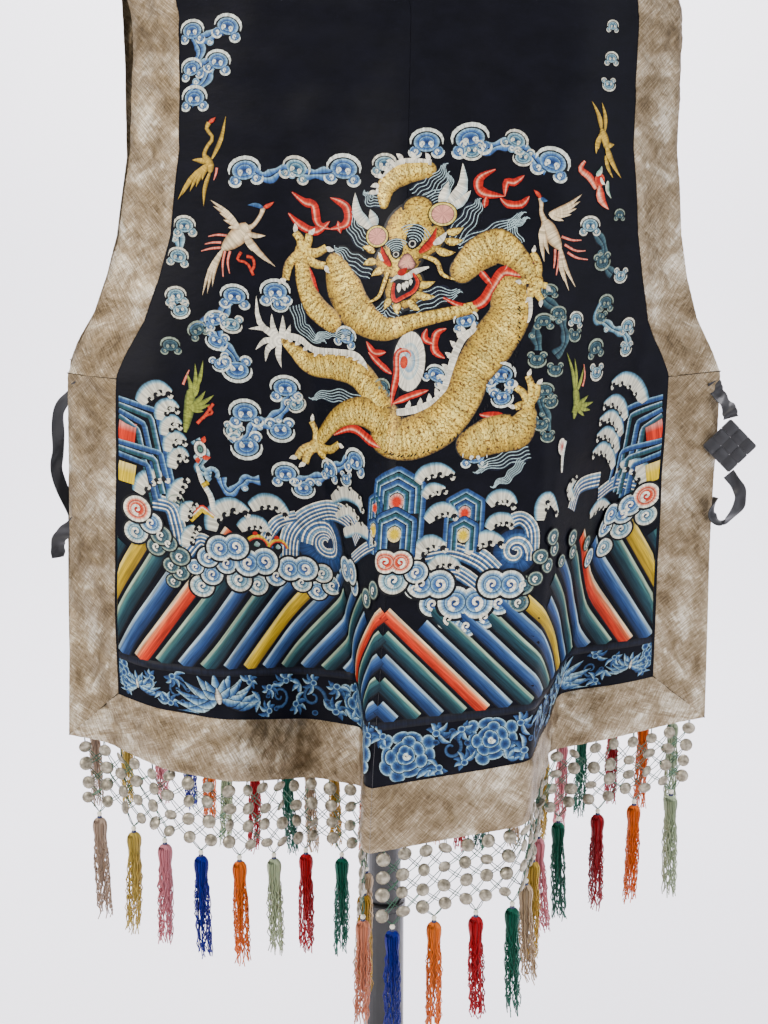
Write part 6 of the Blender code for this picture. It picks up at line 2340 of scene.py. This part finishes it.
@dataclass
class Design:
    """Composes the back's embroidery; every place is where the motif stands in the picture, in pixels."""

    cloth: Cloth
    materials: Materials

    def __post_init__(self) -> None:
        self.view = View(self.cloth)
        self.batches = {
            name: Batch(f"embroidery_{name}") for name in ("sky", "sea", "flowers", "creatures", "gold")
        }
        needles = {name: Needle(self.cloth, batch) for name, batch in self.batches.items()}
        self.clouds = Clouds(needles["sky"], self.view)
        self.foam = Clouds(needles["sea"], self.view)
        self.sea = Sea(needles["sea"], self.view)
        self.flowers = Flowers(needles["flowers"])
        self.creatures = Creatures(needles["creatures"], needles["gold"], self.view)

    def build(self) -> list[Piece]:
        """Embroiders everything and gives back the pieces."""
        self.sky()
        self.water()
        self.flowers.build()
        self.dragon()
        self.birds()
        pieces = []
        for name, batch in self.batches.items():
            finish = self.materials.gold if name == "gold" else self.materials.floss
            pieces.append(batch.finish(finish, FORM_BODY, "black_satin"))
        return pieces

    def sky(self) -> None:
        """Ruyi clouds with wavy bodies."""
        for path, size, palette in CLOUD_BODIES:
            self.clouds.body(path, size, palette)
        for x, y, size, palette, turn in CLOUD_HEADS:
            self.clouds.head((x, y), size, palette, turn)

    def water(self) -> None:
        """Stripes, rocks, waves and foam."""
        sea = self.sea
        sea.stripes()
        orange, lemon = linear("#cc2c0c"), linear("#dcbc0c")
        sea.rock((376, 490), 13, 56, 2, (orange, lemon))
        sea.rock((399, 464), 29, 88, 4, (orange, lemon))
        sea.rock((466, 486), 20, 60, 3, (orange, lemon))
        sea.half_rock(118.0, orange, lemon)
        sea.half_rock(663.0, orange, lemon)
        for path, size, lines in SWELLS:
            sea.swell(path, size, lines)
        sea.spiral((327, 543), 60, 1.55, 180.0)
        sea.spiral((516, 551), 42, -1.4, 0.0)
        sea.bow((258, 547), 23)
        sea.bow((279, 550), 20)
        stops = at((-1.0, -0.5, -0.3, 0.1, 1.0), DYE.red, DYE.coral, DYE.cream, DYE.yellow, DYE.yellow)
        roof = self.view.cut([(190, 519), (202, 508), (215, 517)])
        sea.silk.band(roof, 3.4 * PX, stops, 0.0009, 0.0004, 10, straight=True)
        for path, size, hand in CRESTS:
            sea.crest(path, size, hand)
        self.scallops()

    def scallops(self) -> None:
        """Rows of foam over the stripes, lower ones first."""
        foam = [(*each, False) for each in FOAM_ROUNDS]
        foam += [(x, y, 0.88 * size, palette, True) for x, y, size, palette in FOAM_PAIRS]
        foam.sort(key=lambda each: -each[1])
        for k, (x, y, size, palette, double) in enumerate(foam):
            self.foam.scallop((x, y), size, palette, 0.0006 + 0.00004 * k, double)

    def dragon(self) -> None:
        """The front-facing dragon over its pearl; paths and widths are in picture pixels."""
        c = self.creatures
        for path, size in LOCKS:
            c.hair(path, size)
        c.limb([(383, 204), (386, 186), (402, 175), (428, 170)], (10, 20, 24, 16), 0.0006)
        c.fin([(378, 194), (386, 176), (402, 163), (432, 164)], 7, 8, -1)
        c.fin(
            [(285, 336), (300, 340), (314, 350), (336, 353), (356, 355), (366, 370), (374, 396), (386, 414)],
            7, 14, 1,
        )
        ivory = evenly(DYE.cream, DYE.cream, DYE.ivory)
        # tip and bend of each hair of the tail
        for tip, bend in (
            ((256, 296), -0.2), ((249, 329), 0.2), ((271, 314), -0.1), ((282, 316), 0.05),
            ((290, 325), 0.1), ((256, 350), 0.2), ((266, 362), 0.2), ((281, 368), 0.1),
        ):
            c.silk.leaf(self.view.cut((280, 342)), self.view.cut(tip), 0.0036, ivory, bend, 0.0008)
        c.fin(
            [
                (528, 290), (527, 318), (506, 336), (488, 330), (468, 334), (456, 352), (448, 376),
                (440, 396), (420, 408), (396, 412),
            ],
            7, 20, 1,
        )
        c.limb(
            [(385, 422), (372, 392), (356, 372), (334, 366), (310, 364), (296, 352), (282, 340)],
            (40, 30, 30, 30, 24, 16, 6), 0.0006,
        )
        c.limb(
            [(335, 264), (344, 288), (358, 314), (384, 328), (416, 320), (448, 313), (474, 307)],
            (22, 40, 40, 24, 15, 13, 12), 0.0007,
        )
        c.notches([(520, 306), (518, 346), (506, 380), (484, 412), (452, 440), (410, 456), (384, 452)], 4)
        c.limb(
            [(508, 290), (508, 316), (492, 344), (472, 372), (462, 398), (438, 424), (408, 438), (382, 436)],
            (36, 42, 46, 38, 38, 44, 42, 34), 0.0008,
        )
        c.limb([(386, 424), (362, 412), (338, 418), (320, 440)], (34, 30, 22, 14), 0.0010)
        c.claw((316, 446), [(298, 458), (306, 464), (326, 458), (339, 444), (311, 422)], 15)
        c.limb([(331, 322), (314, 306), (304, 282), (302, 256)], (24, 26, 20, 15), 0.0010)
        c.claw((302, 252), [(294, 233), (309, 234), (326, 248), (325, 266), (285, 280)], 16)
        c.limb([(462, 270), (478, 254), (498, 246), (518, 258), (534, 278)], (26, 34, 36, 24, 14), 0.0010)
        c.claw((536, 280), [(533, 252), (547, 286), (530, 297), (541, 300), (521, 283)], 13)
        c.limb([(470, 444), (494, 434), (518, 430), (528, 414)], (30, 38, 34, 18), 0.0010)
        c.claw((529, 405), [(515, 387), (527, 375), (536, 383), (515, 408)], 13)
        for path, size in FLAMES:
            c.flame(path, size)
        self.pearl()
        self.dragon_head()
        self.bat()

    def pearl(self) -> None:
        """The white pearl with a red comma."""
        needle = self.creatures.silk
        seat = self.view.cut((409, 361))
        places = (0.0, 0.35, 0.42, 0.60, 0.66, 1.0, 1.03, 1.1)
        colours = (DYE.cream, DYE.sky, DYE.cream, DYE.mist, DYE.cream, DYE.cream, DYE.black, DYE.black)
        needle.disc(seat, (15 * PX, 28 * PX), at(places, *colours), 0.0010)
        self.creatures.flame(
            [(403, 364), (410, 356), (406, 350), (398, 354), (397, 372), (393, 392), (391, 406)], 8
        )
        needle.disc(
            self.view.cut((404, 362)), (5 * PX, 8 * PX), rings(DYE.coral, DYE.red, outline=False), 0.0012
        )

    def dragon_head(self) -> None:
        """Brow, ears, spiral eyes, nose and open mouth, with gold spikes round the cheeks."""
        gold, silk = self.creatures.gold, self.creatures.silk
        cut = self.view.cut
        spikes = (
            ((446, 232), (463, 227)), ((444, 240), (462, 240)), ((436, 249), (455, 252)),
            ((374, 252), (362, 248)), ((376, 262), (363, 266)), ((384, 270), (371, 276)),
            ((416, 284), (436, 281)), ((414, 292), (436, 296)), ((408, 300), (420, 310)),
            ((398, 302), (398, 314)), ((392, 298), (384, 310)),
        )
        for root, tip in spikes:
            gold.leaf(cut(root), cut(tip), 0.0050, Creatures.SPIKE, 0.10, 0.0011)
        for place, wide, high, turn, lift in (
            ((404, 287), 18, 20, 15.0, 0.0009), ((398, 258), 23, 17, -15.0, 0.0011),
            ((418, 240), 27, 18, -18.0, 0.0012), ((410, 222), 26, 17, -35.0, 0.0014),
            ((418, 208), 14, 11, 0.0, 0.0015),
        ):
            stops = rings(DYE.pale_gold, DYE.gold, DYE.gold, DYE.deep_gold)
            gold.disc(cut(place), (wide * PX, high * PX), stops, lift, turn=turn)
        places = (0.0, 0.74, 0.80, 0.85, 0.98, 1.0, 1.06)
        ear = at(places, DYE.rose, DYE.rose, DYE.black, DYE.pale_gold, DYE.gold, DYE.black, DYE.black)
        for place, wide, high in (((443, 214), 14, 11.5), ((377, 236), 11.5, 10.5)):
            silk.disc(cut(place), (wide * PX, high * PX), ear, 0.0020)
        for place, size, first, last in (((413, 244), 19, -125.0, -20.0), ((396, 255), 15, -140.0, -50.0)):
            self.socket(place, size, first, last)
        silk.leaf(
            cut((419, 253)), cut((437, 227)), 0.0046, evenly(DYE.black, DYE.red, DYE.red, DYE.coral), 0.12,
            0.0028,
        )
        silk.leaf(cut((434, 244)), cut((446, 232)), 0.0040, plain(DYE.cream), 0.1, 0.0028)
        silk.leaf(
            cut((391, 266)), cut((382, 246)), 0.0044, evenly(DYE.coral, DYE.red, DYE.red, DYE.black), -0.1,
            0.0028,
        )
        silk.leaf(cut((384, 261)), cut((378, 252)), 0.0030, plain(DYE.cream), 0.0, 0.0027)
        muzzle = cut([(391, 282), (398, 277), (408, 277), (416, 271), (429, 267)])
        ivory = evenly(DYE.cream, DYE.cream, DYE.ivory)
        silk.band(muzzle, np.array([0.6, 2.2, 3.0, 3.0, 0.8]) * PX, ivory, 0.0024)
        nose = rings(DYE.blush, DYE.blush, DYE.rose, DYE.ink, outline=False)
        silk.disc(cut((408, 263)), (8 * PX, 8 * PX), nose, 0.0026, lobes=3, deep=0.12, turn=30.0)
        silk.leaf(cut((398, 274)), cut((407, 268)), 0.0040, plain(DYE.red), 0.1, 0.0032)
        silk.disc(cut((404, 287)), (11 * PX, 13 * PX), spot(DYE.black), 0.0020, turn=20.0)
        lips = cut([(395, 283), (393, 293), (395, 301), (404, 296), (414, 291), (418, 282), (413, 273)])
        widths = np.array([1.6, 2.6, 2.8, 2.6, 2.8, 2.6, 1.2]) * PX
        silk.band(lips, widths, edged(DYE.ink, DYE.red, DYE.red, DYE.coral), 0.0026)
        for root, tip in (
            ((399, 284), (399, 293)), ((403, 283), (404, 291)), ((407, 281), (408, 288)),
            ((411, 279), (411, 286)),
        ):
            silk.leaf(cut(root), cut(tip), 0.0022, plain(DYE.cream), 0.0, 0.0027)
        for path in (
            [(388, 272), (384, 284), (379, 296), (369, 302)],
            [(424, 256), (437, 262), (443, 274), (455, 280)],
        ):
            gold.band(cut(path), np.array([2.4, 2.6, 2.2, 0.8]) * PX, Creatures.SPIKE, 0.0022, 0.0006)
        cream = evenly(DYE.cream, DYE.cream, DYE.mist)
        for root, tip, half, bend in (
            ((445, 206), (463, 164), 0.0070, 0.20), ((447, 207), (470, 190), 0.0060, 0.12),
            ((442, 206), (449, 181), 0.0060, 0.0), ((372, 228), (355, 194), 0.0066, -0.18),
            ((376, 226), (370, 209), 0.0056, 0.0), ((368, 228), (358, 218), 0.0046, 0.1),
        ):
            silk.leaf(cut(root), cut(tip), half, cream, bend, 0.0012)

    def socket(self, place: Pair, size: float, first: float, last: float) -> None:
        """An eye under a black brow with pale lines that widen away from it.

        Args:
            place: where the eye stands in the picture.
            size: the brow's reach, in pixels.
            first: the angle at which the brow starts, in degrees clockwise from the right.
            last: the angle at which it ends.
        """
        silk = self.creatures.silk
        centre = self.view.cut(place)
        middle = math.radians((first + last) / 2)
        brow = centre + on_circle(middle) * size * 0.42 * PX
        radii = (size * 0.66 * PX, size * 0.44 * PX)
        silk.disc(brow, radii, spot(DYE.black), 0.0021, turn=math.degrees(middle))
        angles = np.radians(np.linspace(first, last, 12))
        for k in range(1, 7):
            reach = size * (0.16 + 0.14 * k) * PX
            silk.band(centre + on_circle(angles) * reach, 0.00050, plain(DYE.mist), 0.0026, 0.0, 12)
        colours = (DYE.black, DYE.black, DYE.ivory, DYE.ivory, DYE.black, DYE.black)
        iris = at((0.0, 0.45, 0.52, 0.66, 0.72, 1.0), *colours)
        silk.disc(centre, (size * 0.27 * PX, size * 0.27 * PX), iris, 0.0029)

    def bat(self) -> None:
        """A red bat with pale wing bars, seen edge on."""
        silk, cut = self.creatures.silk, self.view.cut
        wing = evenly(DYE.red, DYE.coral, DYE.blush, DYE.coral)
        widths = np.array([1.4, 3.0, 3.8, 2.6]) * PX
        silk.band(cut([(585, 162), (581, 170), (590, 178), (597, 188)]), widths, wing, 0.0008, 0.0004, 12)
        silk.disc(cut((600, 181)), (5.5 * PX, 6.5 * PX), rings(DYE.red, DYE.red, DYE.coral), 0.0011)
        grey = evenly(DYE.sage, DYE.celadon, DYE.ivory)
        for root, tip, half, stops in (
            ((600, 186), (609, 209), 0.0056, wing),
            ((599, 188), (603, 201), 0.0028, evenly(DYE.cream, DYE.blush)),
            ((601, 178), (606, 185), 0.0022, plain(DYE.cream)), ((596, 176), (602, 167), 0.0030, grey),
            ((608, 182), (611, 198), 0.0026, grey),
        ):
            silk.leaf(cut(root), cut(tip), half, stops, 0.15, 0.0013)

    def birds(self) -> None:
        """Two white birds, two gold cranes, two green birds, and the small emblems beside them."""
        c = self.creatures
        for bird in BIRDS:
            c.bird(bird)
        cut, silk = self.view.cut, self.creatures.silk
        pale = evenly(DYE.mist, DYE.cream, DYE.cream)
        widths = np.array([1.6, 2.6, 2.8, 3.2]) * PX
        silk.band(cut([(198, 467), (203, 482), (211, 497), (214, 510)]), widths, pale, 0.0010, 0.0004, 12)
        silk.band(
            cut([(203, 486), (209, 483)]), 2.4 * PX, evenly(DYE.ochre, DYE.yellow, DYE.ochre), 0.0014,
            0.0004, 4,
        )
        silk.disc(
            cut((201, 450)), (6 * PX, 8 * PX), rings(DYE.ink, DYE.sage, DYE.ink, DYE.cream, DYE.cream),
            0.0010,
        )
        for root, tip in (((199, 458), (199, 464)), ((203, 457), (211, 458)), ((202, 443), (205, 437))):
            silk.leaf(cut(root), cut(tip), 0.0030, evenly(DYE.red, DYE.coral), 0.1, 0.0012)
        blues = evenly(DYE.mist, DYE.sky, DYE.azure)
        silk.curl(cut((213, 475)), (7 * PX, 5 * PX), 0.8, (0.0030, 0.0026), blues, 120.0, 0.0008)
        silk.band(cut([(566, 440), (563, 456), (562, 472)]), np.array([1.8, 2.2, 1.2]) * PX, pale, 0.0010)
        silk.disc(cut((562, 446)), (5 * PX, 8 * PX), rings(DYE.red, DYE.cream), 0.0009)


def dress_stand(frame: dict, materials: Materials) -> None:
    """Gives the form and the stand their materials."""
    finishes = {"form_torso": materials.jersey}
    finishes |= dict.fromkeys(
        ("form_neck_cap", "form_plate", "pole_upper", "pole_lower", "base"), materials.enamel
    )
    for name, finish in finishes.items():
        frame["nodes"][name].material_slots[0].material = finish


def main() -> None:
    """Builds every piece."""
    logging.basicConfig(level=logging.INFO)
    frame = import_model()
    materials = Materials.make()
    cloths = {side: Cloth(side) for side in Side}
    embroidery = Design(cloths[Side.BACK], materials).build()
    for side, cloth in cloths.items():
        tailor = Tailor(cloth, materials)
        fringe = Fringe(cloth, materials)
        for hand in Hand:
            tailor.panel(hand)
            tailor.borders(hand)
            tailor.seams(hand)
            fringe.build(hand)
    Haberdasher(cloths[Side.BACK], cloths[Side.FRONT], materials).build()
    dress_stand(frame, materials)
    studio = Studio()
    studio.backdrop()
    studio.lights()
    studio.camera()


if __name__ == "__main__":
    main()
